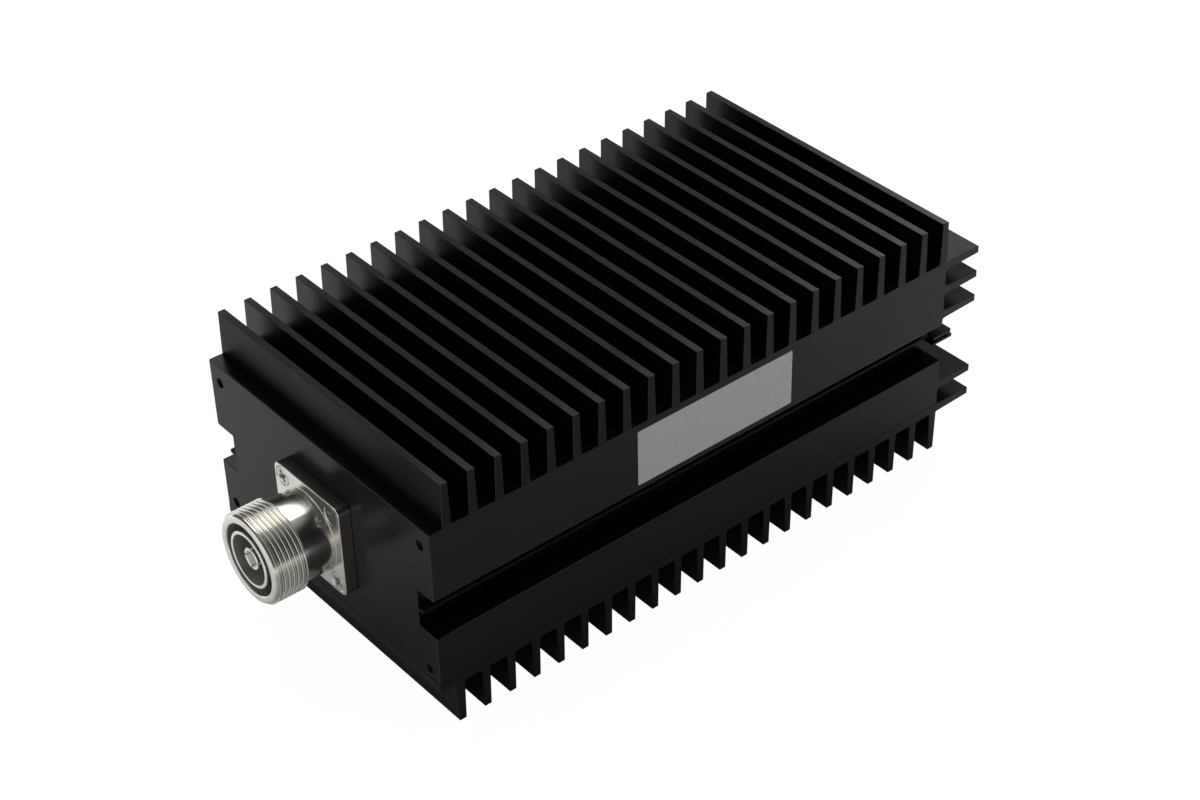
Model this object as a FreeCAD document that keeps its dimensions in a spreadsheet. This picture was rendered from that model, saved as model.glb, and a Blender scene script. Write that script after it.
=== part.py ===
import FreeCAD, Part
import os

import Sketcher

# Finned coaxial dummy load, in millimetres.
# +X runs from the connector to the rear fins, +Z is up, and the part stands on its bottom fins.
# The row's origin is the middle of the footprint, on the floor.
# Every sketch is drawn from the front plate's outer face (x = 0), the middle of the width (y = 0)
# and the floor (z = 0); a placement then moves each piece back by half of the overall length.

Vector = FreeCAD.Vector

SIZES = {
    # Block and front plate
    "body_length": 199.3,
    "body_width": 108.3,
    "block_height": 54.5,
    "front_plate_thickness": 5.0,
    # Fins: tapered, wider at the foot
    "fin_foot": 3.05,
    "fin_tip": 2.35,
    "top_fin_count": 22,
    "top_fin_overhang": 0.28,
    "top_fin_height": 14.7,
    "bottom_fin_count": 22,
    "bottom_fin_start": 5.57,
    "bottom_fin_height": 14.2,
    "rear_fin_count": 3,
    "rear_fin_margin": 2.75,
    "rear_fin_length": 14.3,
    "base_thickness": 3.2,
    # Side grooves, and the sheet and gasket between the halves
    "groove_above_port": 4.85,
    "groove_height": 13.4,
    "groove_depth": 8.1,
    "parting_below_port": 1.55,
    "centre_plate_thickness": 1.2,
    "lip_reach": 2.7,
    "gasket_thickness": 0.9,
    "rear_tab_inset": 3.2,
    "rear_tab_reach": 8.0,
    "rear_ledge_reach": 8.6,
    "rear_ledge_thickness": 1.1,
    # Tapped bracket holes at the corners of the end face
    "bracket_hole_diameter": 3.3,
    "bracket_hole_depth": 14.0,
    "bracket_hole_side": 4.8,
    "bracket_hole_edge": 6.2,
    # Connector
    "thread_diameter": 29.0,
    "thread_length": 11.4,
    "thread_depth": 1.4,
    "thread_chamfer": 0.9,
    "barrel_length": 21.2,
    "barrel_wall": 1.8,
    "root_fillet": 0.3,
    "flange_thickness": 4.2,
    "flange_corner": 2.4,
    "flange_margin": 0.575,
    "line_bore": 16.0,
    "sleeve_wall": 1.1,
    "sleeve_recess": 0.1,
    "gap_depth": 11.4,
    "contact_diameter": 7.0,
    "contact_wall": 1.0,
    "contact_bore_depth": 9.0,
    "contact_recess": 1.0,
    "collar_step": 1.0,
    "collar_length": 1.0,
    "neck_step": 0.5,
    "bead_front": 9.0,
    "bead_back": 3.0,
    "seal_section": 1.8,
    "seal_groove_width": 2.2,
    # Flange screws
    "screw_diameter": 3.0,
    "screw_length": 16.0,
    "screw_head_diameter": 6.6,
    "head_gap": 0.45,
    "recess_width": 1.0,
    "recess_span": 4.0,
    "recess_depth": 1.3,
    # Clamp screws in the bottom channels
    "clamp_bite": 7.7,
    "clamp_head_gap": 0.265,
    "clamp_head_height": 3.0,
    "clamp_socket": 2.5,
    "clamp_socket_depth": 1.6,
    "clamp_inset": 8.05,
    "clamp_first_channel": 3,
    "clamp_channel_step": 8,
    "clamp_columns": 3,
    # Cavity and load
    "cavity_length": 62.0,
    "cavity_width": 23.0,
    "cavity_rise": 10.0,
    "cavity_drop": 5.0,
    "pin_diameter": 2.5,
    "pin_reach": 18.0,
    "pin_seat": 3.0,
    "carrier_start": 12.0,
    "carrier_length": 26.0,
    "carrier_gap": 2.0,
    "carrier_screw_inset": 3.5,
    "carrier_screw_length": 10.0,
    "carrier_head_diameter": 5.0,
    "carrier_head_height": 2.0,
    "foil_thickness": 0.2,
    "chip_size": 9.5,
    "chip_thickness": 1.5,
    "chip_start": 20.0,
    "cover_start": 22.3,
    "cover_size": 7.0,
    "cover_thickness": 1.0,
    "tab_start": 15.0,
    "tab_width": 1.6,
    "tab_thickness": 0.2,
    "tab_length": 7.0,
    # Label
    "label_start": 73.7,
    "label_length": 60.2,
    "label_margin": 2.35,
    "label_thickness": 0.12,
    # Gap round a part that slides or screws into another
    "fit_clearance": 0.05,
    "screw_clearance": 0.2,
}

# Heights above the floor
UNDERSIDE = "Sizes.bottom_fin_height"
SEAM = "(Sizes.bottom_fin_height + Sizes.base_thickness)"
TOP = "(%s + Sizes.block_height)" % SEAM
PORT = "(%s + (Sizes.base_thickness + Sizes.block_height) / 2)" % UNDERSIDE
GROOVE_ROOF = "(%s + Sizes.groove_above_port)" % PORT
GROOVE_FLOOR = "(%s - Sizes.groove_height)" % GROOVE_ROOF
PARTING = "(%s - Sizes.parting_below_port)" % PORT
PLATE_BOTTOM = "(%s - Sizes.centre_plate_thickness)" % PARTING
LOWER_TOP = "(%s - Sizes.gasket_thickness)" % PLATE_BOTTOM
CAVITY_FLOOR = "(%s - Sizes.cavity_drop)" % LOWER_TOP

# Stack that brings the load's ribbon up to the launch pin
TAB_TOP = "(%s - Sizes.pin_diameter / 2)" % PORT
CHIP_TOP = "(%s - Sizes.tab_thickness)" % TAB_TOP
CARRIER_TOP = "(%s - Sizes.chip_thickness)" % CHIP_TOP
CARRIER_BOTTOM = "(%s + Sizes.foil_thickness)" % CAVITY_FLOOR

# Distances across and along
SIDE = "(Sizes.body_width / 2)"
NECK = "(Sizes.body_width / 2 - Sizes.groove_depth)"
LIP = "(%s + Sizes.lip_reach)" % NECK
TAB_SIDE = "(Sizes.body_width / 2 - Sizes.rear_tab_inset)"
PLATE = "Sizes.front_plate_thickness"
CAVITY_SIDE = "(Sizes.cavity_width / 2)"
CAVITY_END = "(%s + Sizes.cavity_length)" % PLATE
FRONT = "(-Sizes.flange_thickness - Sizes.barrel_length)"
FIN_END = "(Sizes.body_length + Sizes.rear_fin_length)"
SHIFT = "(-(%s + %s) / 2)" % (FIN_END, FRONT)
CARRIER_SIDE = "(%s - Sizes.carrier_gap)" % CAVITY_SIDE

# Rows of fins: the first foot's start, the pitch that ends the last foot flush, and the first middle
TOP_START = "(%s - Sizes.top_fin_overhang)" % PLATE
TOP_PITCH = "((Sizes.body_length - Sizes.fin_foot - %s) / (Sizes.top_fin_count - 1))" % TOP_START
TOP_FIN = "(%s + Sizes.fin_foot / 2)" % TOP_START
BOTTOM_PITCH = "((Sizes.body_length - Sizes.fin_foot - Sizes.bottom_fin_start) / (Sizes.bottom_fin_count - 1))"
BOTTOM_FIN = "(Sizes.bottom_fin_start + Sizes.fin_foot / 2)"
REAR_SPAN = "(%s - %s - Sizes.fin_foot - Sizes.rear_fin_margin)" % (TOP, GROOVE_ROOF)
REAR_PITCH = "(%s / (Sizes.rear_fin_count - 1))" % REAR_SPAN

# Connector, seen from its axis
THREAD = "(Sizes.thread_diameter / 2)"
BARREL = "(%s - Sizes.thread_depth)" % THREAD
THREAD_END = "(%s + Sizes.thread_length)" % FRONT
GAP = "(%s - Sizes.barrel_wall)" % BARREL
LINE_BORE = "(Sizes.line_bore / 2)"
SLEEVE = "(%s + Sizes.sleeve_wall)" % LINE_BORE
SEAT = "(%s + Sizes.fit_clearance)" % SLEEVE
SPIGOT = SLEEVE
SPIGOT_HOLE = SEAT
SEAL = "((%s + %s) / 2)" % (SPIGOT, BARREL)
SEAL_IN = "(%s - Sizes.seal_groove_width / 2)" % SEAL
SEAL_OUT = "(%s + Sizes.seal_groove_width / 2)" % SEAL
CONTACT = "(Sizes.contact_diameter / 2)"
NECK_OF_CONTACT = "(%s - Sizes.neck_step)" % CONTACT
PIN = "(Sizes.pin_diameter / 2)"
PIN_HOLE = "(%s + Sizes.fit_clearance)" % PIN
HEAD = "(Sizes.screw_head_diameter / 2)"
SCREW_AT = "((%s + Sizes.root_fillet + Sizes.head_gap + %s) / sqrt(2))" % (BARREL, HEAD)
FLANGE_HALF = "(%s + %s + Sizes.flange_margin)" % (SCREW_AT, HEAD)

# Holes and screws
BRACKET_SIDE = "(%s - Sizes.bracket_hole_side)" % SIDE
BRACKET_LOW = "(%s + Sizes.bracket_hole_edge)" % UNDERSIDE
BRACKET_HIGH = "(%s - Sizes.bracket_hole_edge)" % TOP
TAPPED = "(Sizes.screw_diameter / 2 + Sizes.fit_clearance)"
CLEARED = "(Sizes.screw_diameter / 2 + Sizes.screw_clearance)"
HOLE_SPARE = "Sizes.screw_diameter / 2"
SCREW_LOW = "(%s - %s)" % (PORT, SCREW_AT)
SCREW_HIGH = "(%s + %s)" % (PORT, SCREW_AT)
FLANGE_GRID = ("Y_Axis", "2", "2 * " + SCREW_AT), ("Z_Axis", "2", "2 * " + SCREW_AT)
FLANGE_TAP_DEPTH = "Sizes.screw_length - Sizes.flange_thickness - %s + %s" % (PLATE, HOLE_SPARE)
CLAMP_X = "(%s + (Sizes.clamp_first_channel - 1 / 2) * %s)" % (BOTTOM_FIN, BOTTOM_PITCH)
CLAMP_SIDE = "(%s - Sizes.clamp_inset)" % NECK
CLAMP_Y = "-" + CLAMP_SIDE
CLAMP_STEP = "Sizes.clamp_channel_step * " + BOTTOM_PITCH
CLAMP_GRID = ("X_Axis", "Sizes.clamp_columns", CLAMP_STEP), ("Y_Axis", "2", "2 * " + CLAMP_SIDE)
CLAMP_HEAD = "((%s - Sizes.fin_foot) / 2 - Sizes.clamp_head_gap)" % BOTTOM_PITCH
CLAMP_LENGTH = "(%s - %s + Sizes.clamp_bite)" % (PARTING, UNDERSIDE)
CLAMP_TAP_DEPTH = "Sizes.clamp_bite + " + HOLE_SPARE
CARRIER_X = "(Sizes.carrier_start + Sizes.carrier_screw_inset)"
CARRIER_Y = "(Sizes.carrier_screw_inset - %s)" % CARRIER_SIDE
CARRIER_ALONG = "Sizes.carrier_length - 2 * Sizes.carrier_screw_inset"
CARRIER_ACROSS = "2 * (%s - Sizes.carrier_screw_inset)" % CARRIER_SIDE
CARRIER_GRID = ("X_Axis", "2", CARRIER_ALONG), ("Y_Axis", "2", CARRIER_ACROSS)
CARRIER_TAP_DEPTH = "%s + Sizes.carrier_screw_length - %s + %s" % (CAVITY_FLOOR, CARRIER_TOP, HOLE_SPARE)

# Numbers by which a sketch knows its own origin and the points of a line or circle
ORIGIN_INDEX = -1
START_INDEX = 1
END_INDEX = 2
CENTRE_INDEX = 3
TOLERANCE = 1e-4

doc = FreeCAD.newDocument("dummy_load")
sheet = doc.addObject("Spreadsheet::Sheet", "Sizes")
for row, (alias, number) in enumerate(SIZES.items(), 1):
    sheet.set("A%d" % row, alias)
    sheet.set("B%d" % row, str(number))
    sheet.setAlias("B%d" % row, alias)
probe = doc.addObject("App::FeaturePython", "probe")
doc.recompute()

pieces = []


def number_of(expression):
    """Returns what an expression on the sheet comes to."""
    return float(probe.evalExpression(expression))


def new_body(name, along="0", across="0", height="0"):
    """Adds an empty body; its own origin is moved from the middle of the front plate's lower edge."""
    body = doc.addObject("PartDesign::Body", name)
    body.Label = name
    body.setExpression("Placement.Base.x", SHIFT + " + " + along)
    body.setExpression("Placement.Base.y", across)
    body.setExpression("Placement.Base.z", height)
    pieces.append(body)
    return body


def origin_part(body, role):
    """Returns one of a body's own planes or axes."""
    return [item for item in body.Origin.OriginFeatures if item.Role == role][0]


def new_sketch(body, plane, offset="0"):
    """Adds a sketch on one of a body's planes, moved along the plane's normal."""
    sketch = body.newObject("Sketcher::SketchObject", body.Name + "_sketch")
    sketch.AttachmentSupport = [(origin_part(body, plane), "")]
    sketch.MapMode = "FlatFace"
    sketch.setExpression("AttachmentOffset.Base.z", offset)
    return sketch


def hold(sketch, kind, where, expression):
    """Adds a sketch dimension and ties it to the sheet."""
    index = sketch.addConstraint(Sketcher.Constraint(kind, *where, number_of(expression)))
    sketch.setExpression("Constraints[%d]" % index, expression)


def add_circle(sketch, centre, radius):
    """Adds a circle whose centre is held at a pair of expressions."""
    across, up = centre
    middle = Vector(number_of(across), number_of(up), 0)
    index = sketch.addGeometry(Part.Circle(middle, Vector(0, 0, 1), number_of(radius)), False)
    hold(sketch, "Radius", (index,), radius)
    hold(sketch, "DistanceX", (ORIGIN_INDEX, START_INDEX, index, CENTRE_INDEX), across)
    hold(sketch, "DistanceY", (ORIGIN_INDEX, START_INDEX, index, CENTRE_INDEX), up)


def outline(body, plane, corners, offset="0"):
    """Draws a closed outline whose corners are held at the given pairs of expressions."""
    sketch = new_sketch(body, plane, offset)
    points = [Vector(number_of(across), number_of(up), 0) for across, up in corners]
    for start, end in zip(points, points[1:] + points[:1]):
        sketch.addGeometry(Part.LineSegment(start, end), False)
    for index in range(len(points)):
        following = (index + 1) % len(points)
        sketch.addConstraint(Sketcher.Constraint("Coincident", index, END_INDEX, following, START_INDEX))
    for index, (across, up) in enumerate(corners):
        hold(sketch, "DistanceX", (ORIGIN_INDEX, START_INDEX, index, START_INDEX), across)
        hold(sketch, "DistanceY", (ORIGIN_INDEX, START_INDEX, index, START_INDEX), up)
    return sketch


def circles(body, plane, centres, radius, offset="0"):
    """Draws equal circles at the given pairs of expressions."""
    sketch = new_sketch(body, plane, offset)
    for centre in centres:
        add_circle(sketch, centre, radius)
    return sketch


def rectangle(low_across, high_across, low_up, high_up):
    """Returns the four corners of a rectangle, as pairs of expressions."""
    return [(low_across, low_up), (high_across, low_up), (high_across, high_up), (low_across, high_up)]


def both_sides(corners, mirrored_first):
    """Completes an outline from its half: the other half has one of the two coordinates negated."""
    if mirrored_first:
        return corners + [("-" + across, up) for across, up in reversed(corners)]
    return corners + [(across, "-" + up) for across, up in reversed(corners)]


def pad(body, sketch, length, both_ways=False, backwards=False):
    """Raises a sketch into a solid, along its normal, against it, or half to each side."""
    feature = body.newObject("PartDesign::Pad", body.Name + "_pad")
    feature.Profile = sketch
    feature.Midplane = both_ways
    feature.Reversed = backwards
    feature.setExpression("Length", length)
    doc.recompute()
    return feature


def cut(body, sketch, depth, along_normal=True):
    """Cuts a sketch into the solid to a depth, and makes sure that it removed something."""
    before = body.Shape.Volume
    feature = body.newObject("PartDesign::Pocket", body.Name + "_cut")
    feature.Profile = sketch
    feature.Reversed = along_normal
    feature.setExpression("Length", depth)
    doc.recompute()
    if body.Shape.Volume >= before:
        raise RuntimeError("%s removes nothing" % feature.Name)
    return feature


def turn(body, corners, axis="H_Axis"):
    """Turns an outline on the body's XZ plane about its X axis, or about its Z axis."""
    sketch = outline(body, "XZ_Plane", corners)
    feature = body.newObject("PartDesign::Revolution", body.Name + "_turned")
    feature.Profile = sketch
    feature.ReferenceAxis = (sketch, [axis])
    feature.Angle = 360
    doc.recompute()
    return feature


def way_along(body, axis, count, pitch):
    """Adds a row of copies along one of the body's axes, or against it."""
    row_feature = body.newObject("PartDesign::LinearPattern", body.Name + "_row")
    row_feature.Direction = (origin_part(body, axis.lstrip("-")), [""])
    row_feature.Reversed = axis.startswith("-")
    row_feature.Mode = "Spacing"
    row_feature.setExpression("Offset", pitch)
    row_feature.setExpression("Occurrences", count)
    return row_feature


def repeat_in_row(body, feature, axis, count, pitch):
    """Repeats a feature in a row."""
    pattern = way_along(body, axis, count, pitch)
    pattern.Originals = [feature]
    body.Tip = pattern
    doc.recompute()


def repeat_in_grid(body, features, *ways):
    """Repeats features in a grid; each of the two ways is an axis, a count and a pitch."""
    pattern = body.newObject("PartDesign::MultiTransform", body.Name + "_grid")
    pattern.Originals = features
    pattern.Transformations = [way_along(body, *way) for way in ways]
    body.Tip = pattern
    doc.recompute()


def edges_where(shape, wanted):
    """Returns the names of a shape's edges that pass a test."""
    return ["Edge%d" % index for index, edge in enumerate(shape.Edges, 1) if wanted(edge)]


def ease(body, kind, feature, edges, size_name, size):
    """Rounds or bevels edges of a feature."""
    if not edges:
        raise RuntimeError("%s: no edge found" % body.Name)
    eased = body.newObject("PartDesign::" + kind, body.Name + "_" + kind.lower())
    eased.Base = (feature, edges)
    eased.setExpression(size_name, size)
    body.Tip = eased
    doc.recompute()
    return eased


def block(name, low, size):
    """Adds a plain box, from its lowest corner and its size as expressions."""
    box = doc.addObject("Part::Box", name)
    box.Label = name
    for side, expression in zip(("Length", "Width", "Height"), size):
        box.setExpression(side, expression)
    box.setExpression("Placement.Base.x", SHIFT + " + " + low[0])
    box.setExpression("Placement.Base.y", low[1])
    box.setExpression("Placement.Base.z", low[2])
    pieces.append(box)
    return box


def standing_fin(middle, foot, tip):
    """Returns the outline of a fin on a level face: wide at the foot, narrow at the tip."""
    return [
        ("%s - Sizes.fin_foot / 2" % middle, foot),
        ("%s + Sizes.fin_foot / 2" % middle, foot),
        ("%s + Sizes.fin_tip / 2" % middle, tip),
        ("%s - Sizes.fin_tip / 2" % middle, tip),
    ]


def rear_fin(middle):
    """Returns the outline of a fin on the rear face, at the height of its middle."""
    return [
        ("Sizes.body_length", "%s - Sizes.fin_foot / 2" % middle),
        (FIN_END, "%s - Sizes.fin_tip / 2" % middle),
        (FIN_END, "%s + Sizes.fin_tip / 2" % middle),
        ("Sizes.body_length", "%s + Sizes.fin_foot / 2" % middle),
    ]


def bracket_holes(body, height, start, depth):
    """Bores the pair of bracket holes at one height of the end face."""
    centres = [(BRACKET_SIDE, height), ("-" + BRACKET_SIDE, height)]
    cut(body, circles(body, "YZ_Plane", centres, "Sizes.bracket_hole_diameter / 2", start), depth)


def flange_screw_holes(body, height, start, radius, depth):
    """Bores the pair of flange screw holes at one height of the end face."""
    centres = [(SCREW_AT, height), ("-" + SCREW_AT, height)]
    cut(body, circles(body, "YZ_Plane", centres, radius, start), depth)


def clamp_holes(body, start, radius, depth):
    """Bores the grid of clamp screw holes upwards from a height."""
    hole = cut(body, circles(body, "XY_Plane", [(CLAMP_X, CLAMP_Y)], radius, start), depth)
    repeat_in_grid(body, [hole], *CLAMP_GRID)


def carrier_holes(body, start, radius, depth, along_normal=True):
    """Bores the grid of carrier screw holes up or down from a height."""
    hole = cut(body, circles(body, "XY_Plane", [(CARRIER_X, CARRIER_Y)], radius, start), depth, along_normal)
    repeat_in_grid(body, [hole], *CARRIER_GRID)


def cavity(body, start, rise):
    """Cuts this piece's share of the cavity, which opens at the front plate."""
    corners = rectangle(PLATE, CAVITY_END, "-" + CAVITY_SIDE, CAVITY_SIDE)
    cut(body, outline(body, "XY_Plane", corners, start), rise)


def build_upper_heatsink():
    """Upper half of the block, with its cross fins and three rear fins."""
    body = new_body("upper_heatsink")
    section = both_sides([(SIDE, TOP), (SIDE, GROOVE_ROOF), (NECK, GROOVE_ROOF), (NECK, PARTING)], True)
    pad(body, outline(body, "YZ_Plane", section, PLATE), "Sizes.body_length - " + PLATE)
    sketch = outline(body, "XZ_Plane", standing_fin(TOP_FIN, TOP, TOP + " + Sizes.top_fin_height"))
    fin = pad(body, sketch, "Sizes.body_width", True)
    repeat_in_row(body, fin, "X_Axis", "Sizes.top_fin_count", TOP_PITCH)
    sketch = outline(body, "XZ_Plane", rear_fin(TOP + " - Sizes.fin_foot / 2"))
    fin = pad(body, sketch, "Sizes.body_width", True)
    repeat_in_row(body, fin, "-Z_Axis", "Sizes.rear_fin_count", REAR_PITCH)
    cavity(body, PARTING, "Sizes.cavity_rise")
    bracket_holes(body, BRACKET_HIGH, PLATE, "Sizes.bracket_hole_depth - " + PLATE)
    flange_screw_holes(body, SCREW_HIGH, PLATE, TAPPED, FLANGE_TAP_DEPTH)
    clamp_holes(body, PARTING, TAPPED, CLAMP_TAP_DEPTH)


def build_lower_body():
    """Lower half of the block, with one rear fin and a thin ledge under the rear tab."""
    body = new_body("lower_body")
    section = both_sides([(NECK, LOWER_TOP), (NECK, GROOVE_FLOOR), (SIDE, GROOVE_FLOOR), (SIDE, SEAM)], True)
    pad(body, outline(body, "YZ_Plane", section, PLATE), "Sizes.body_length - " + PLATE)
    middle = "%s + Sizes.base_thickness / 2 + %s" % (UNDERSIDE, REAR_PITCH)
    pad(body, outline(body, "XZ_Plane", rear_fin(middle)), "Sizes.body_width", True)
    ledge = rectangle("-" + TAB_SIDE, TAB_SIDE, LOWER_TOP + " - Sizes.rear_ledge_thickness", LOWER_TOP)
    pad(body, outline(body, "YZ_Plane", ledge, "Sizes.body_length"), "Sizes.rear_ledge_reach")
    cavity(body, CAVITY_FLOOR, "Sizes.cavity_drop")
    bracket_holes(body, BRACKET_LOW, PLATE, "Sizes.bracket_hole_depth - " + PLATE)
    flange_screw_holes(body, SCREW_LOW, PLATE, TAPPED, FLANGE_TAP_DEPTH)
    clamp_holes(body, SEAM, CLEARED, LOWER_TOP + " - " + SEAM)
    carrier_holes(body, CAVITY_FLOOR, TAPPED, CARRIER_TAP_DEPTH, False)


def build_bottom_fin_plate():
    """Thin base plate with the bottom fins; it runs on behind the block as the lowest rear fin."""
    body = new_body("bottom_fin_plate")
    base = [
        ("0", UNDERSIDE),
        ("Sizes.body_length", UNDERSIDE),
        (FIN_END, "%s + (Sizes.base_thickness - Sizes.fin_tip) / 2" % UNDERSIDE),
        (FIN_END, "%s + (Sizes.base_thickness + Sizes.fin_tip) / 2" % UNDERSIDE),
        ("Sizes.body_length", SEAM),
        ("0", SEAM),
    ]
    pad(body, outline(body, "XZ_Plane", base), "Sizes.body_width", True)
    sketch = outline(body, "XZ_Plane", standing_fin(BOTTOM_FIN, UNDERSIDE, "0"))
    fin = pad(body, sketch, "Sizes.body_width", True)
    repeat_in_row(body, fin, "X_Axis", "Sizes.bottom_fin_count", BOTTOM_PITCH)
    clamp_holes(body, UNDERSIDE, CLEARED, "Sizes.base_thickness")


def build_front_plate():
    """Plain end plate: notched at the sides like the halves behind it."""
    body = new_body("front_plate")
    section = both_sides([(SIDE, TOP), (SIDE, GROOVE_ROOF), (NECK, GROOVE_ROOF),
                          (NECK, GROOVE_FLOOR), (SIDE, GROOVE_FLOOR), (SIDE, SEAM)], True)
    pad(body, outline(body, "YZ_Plane", section), PLATE)
    cut(body, circles(body, "YZ_Plane", [("0", PORT)], SPIGOT_HOLE), PLATE)
    for height in (BRACKET_LOW, BRACKET_HIGH):
        bracket_holes(body, height, "0", PLATE)
    for height in (SCREW_LOW, SCREW_HIGH):
        flange_screw_holes(body, height, "0", CLEARED, PLATE)


def build_centre_plate():
    """Sheet between the halves: lips in the side grooves, a wider tab at the rear."""
    body = new_body("centre_plate")
    tab_end = "Sizes.body_length + Sizes.rear_tab_reach"
    half = [(CAVITY_END, CAVITY_SIDE), (PLATE, CAVITY_SIDE), (PLATE, NECK), ("0", NECK), ("0", LIP),
            ("Sizes.body_length", LIP), ("Sizes.body_length", TAB_SIDE), (tab_end, TAB_SIDE)]
    sketch = outline(body, "XY_Plane", both_sides(half, False), PLATE_BOTTOM)
    pad(body, sketch, "Sizes.centre_plate_thickness")
    clamp_holes(body, PLATE_BOTTOM, CLEARED, "Sizes.centre_plate_thickness")


def build_parting_gasket():
    """Gasket under the centre plate, open round the cavity."""
    body = new_body("parting_gasket")
    half = [(CAVITY_END, CAVITY_SIDE), (PLATE, CAVITY_SIDE), (PLATE, NECK), ("Sizes.body_length", NECK)]
    pad(body, outline(body, "XY_Plane", both_sides(half, False), LOWER_TOP), "Sizes.gasket_thickness")
    clamp_holes(body, LOWER_TOP, CLEARED, "Sizes.gasket_thickness")


def build_connector_shell():
    """Threaded barrel, square flange and rear spigot in one piece, with a groove for the seal."""
    body = new_body("connector_shell", height=PORT)
    section = [
        (PLATE, LINE_BORE),
        (PLATE, SPIGOT),
        ("0", SPIGOT),
        ("0", SEAL_IN),
        ("-Sizes.seal_section", SEAL_IN),
        ("-Sizes.seal_section", SEAL_OUT),
        ("0", SEAL_OUT),
        ("0", BARREL),
        (THREAD_END, BARREL),
        ("%s - (%s - %s)" % (THREAD_END, THREAD, BARREL), THREAD),
        (FRONT + " + Sizes.thread_chamfer", THREAD),
        (FRONT, THREAD + " - Sizes.thread_chamfer"),
        (FRONT, GAP),
        (FRONT + " + Sizes.gap_depth", GAP),
        (FRONT + " + Sizes.gap_depth", SEAT),
        ("-Sizes.bead_back", SEAT),
        ("-Sizes.bead_back", LINE_BORE),
    ]
    turn(body, section)
    low = "-" + FLANGE_HALF
    sketch = outline(body, "YZ_Plane", rectangle(low, FLANGE_HALF, low, FLANGE_HALF))
    add_circle(sketch, ("0", "0"), SEAL_OUT)
    flange = pad(body, sketch, "Sizes.flange_thickness", backwards=True)

    reach = number_of(FLANGE_HALF)
    corners = edges_where(flange.Shape, lambda edge: edge.BoundBox.XLength > TOLERANCE and all(
        abs(abs(vertex.Y) - reach) < TOLERANCE and abs(abs(vertex.Z) - reach) < TOLERANCE
        for vertex in edge.Vertexes))
    rounded = ease(body, "Fillet", flange, corners, "Radius", "Sizes.flange_corner")

    face = -number_of("Sizes.flange_thickness")

    def circle_on_face(radius):
        """Returns a test for a full circle of a radius that lies on the flange's front face."""
        wanted = number_of(radius)
        return lambda edge: (
            edge.Curve.TypeId == "Part::GeomCircle"
            and abs(edge.Curve.Radius - wanted) < TOLERANCE
            and abs(edge.BoundBox.XMin - face) < TOLERANCE
            and edge.BoundBox.XLength < TOLERANCE)

    root = edges_where(rounded.Shape, circle_on_face(BARREL))
    ease(body, "Fillet", rounded, root, "Radius", "Sizes.root_fillet")

    spots = (SCREW_AT, "-" + SCREW_AT)
    centres = [(across, up) for across in spots for up in spots]
    sketch = circles(body, "YZ_Plane", centres, CLEARED, "-Sizes.flange_thickness")
    bored = cut(body, sketch, "Sizes.flange_thickness")
    mouths = edges_where(bored.Shape, circle_on_face(CLEARED))
    ease(body, "Chamfer", bored, mouths, "Size", "%s - %s" % (HEAD, CLEARED))


def build_line_parts():
    """Inner parts of the coaxial line, all turned about its axis."""
    sleeve = new_body("outer_contact", height=PORT)
    tip = FRONT + " + Sizes.sleeve_recess"
    turn(sleeve, rectangle(tip, "-Sizes.bead_front", LINE_BORE, SLEEVE))

    contact = new_body("centre_socket", height=PORT)
    tip = FRONT + " + Sizes.contact_recess"
    mouth = CONTACT + " - Sizes.contact_wall"
    collar = CONTACT + " + Sizes.collar_step"
    collar_front = "(-Sizes.bead_front - Sizes.collar_length)"
    turn(contact, [
        (tip, mouth),
        (tip, CONTACT),
        (collar_front, CONTACT),
        (collar_front, collar),
        ("-Sizes.bead_front", collar),
        ("-Sizes.bead_front", NECK_OF_CONTACT),
        ("0", NECK_OF_CONTACT),
        ("0", PIN_HOLE),
        ("-Sizes.pin_seat", PIN_HOLE),
        ("-Sizes.pin_seat", "0"),
        (tip + " + Sizes.contact_bore_depth", "0"),
        (tip + " + Sizes.contact_bore_depth", mouth),
    ])

    bead = new_body("connector_insulator", height=PORT)
    turn(bead, rectangle("-Sizes.bead_front", "-Sizes.bead_back", NECK_OF_CONTACT, SLEEVE))
    bead = new_body("launch_bead", height=PORT)
    turn(bead, rectangle("0", PLATE, PIN, LINE_BORE))
    pin = new_body("launch_pin", height=PORT)
    turn(pin, rectangle("-Sizes.pin_seat", "Sizes.pin_reach", "0", PIN))

    seal = new_body("flange_seal", along="-Sizes.seal_section / 2", height=PORT)
    ring = circles(seal, "XZ_Plane", [("0", SEAL)], "Sizes.seal_section / 2")
    feature = seal.newObject("PartDesign::Revolution", "flange_seal_turned")
    feature.Profile = ring
    feature.ReferenceAxis = (ring, ["H_Axis"])
    feature.Angle = 360
    doc.recompute()


def build_flange_screws():
    """Four countersunk screws with a cross recess, through the flange and front plate."""
    body = new_body("flange_screws", "-Sizes.flange_thickness", "-" + SCREW_AT, SCREW_LOW)
    shank = "Sizes.screw_diameter / 2"
    turned = turn(body, [
        ("0", "0"),
        ("0", HEAD),
        ("%s - %s" % (HEAD, shank), shank),
        ("Sizes.screw_length", shank),
        ("Sizes.screw_length", "0"),
    ])
    half = "Sizes.recess_width / 2"
    arm = "Sizes.recess_span / 2"
    cross = [(half, half), (half, arm), ("-" + half, arm), ("-" + half, half),
             ("-" + arm, half), ("-" + arm, "-" + half), ("-" + half, "-" + half), ("-" + half, "-" + arm),
             (half, "-" + arm), (half, "-" + half), (arm, "-" + half), (arm, half)]
    recess = cut(body, outline(body, "YZ_Plane", cross), "Sizes.recess_depth")
    repeat_in_grid(body, [turned, recess], *FLANGE_GRID)


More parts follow.
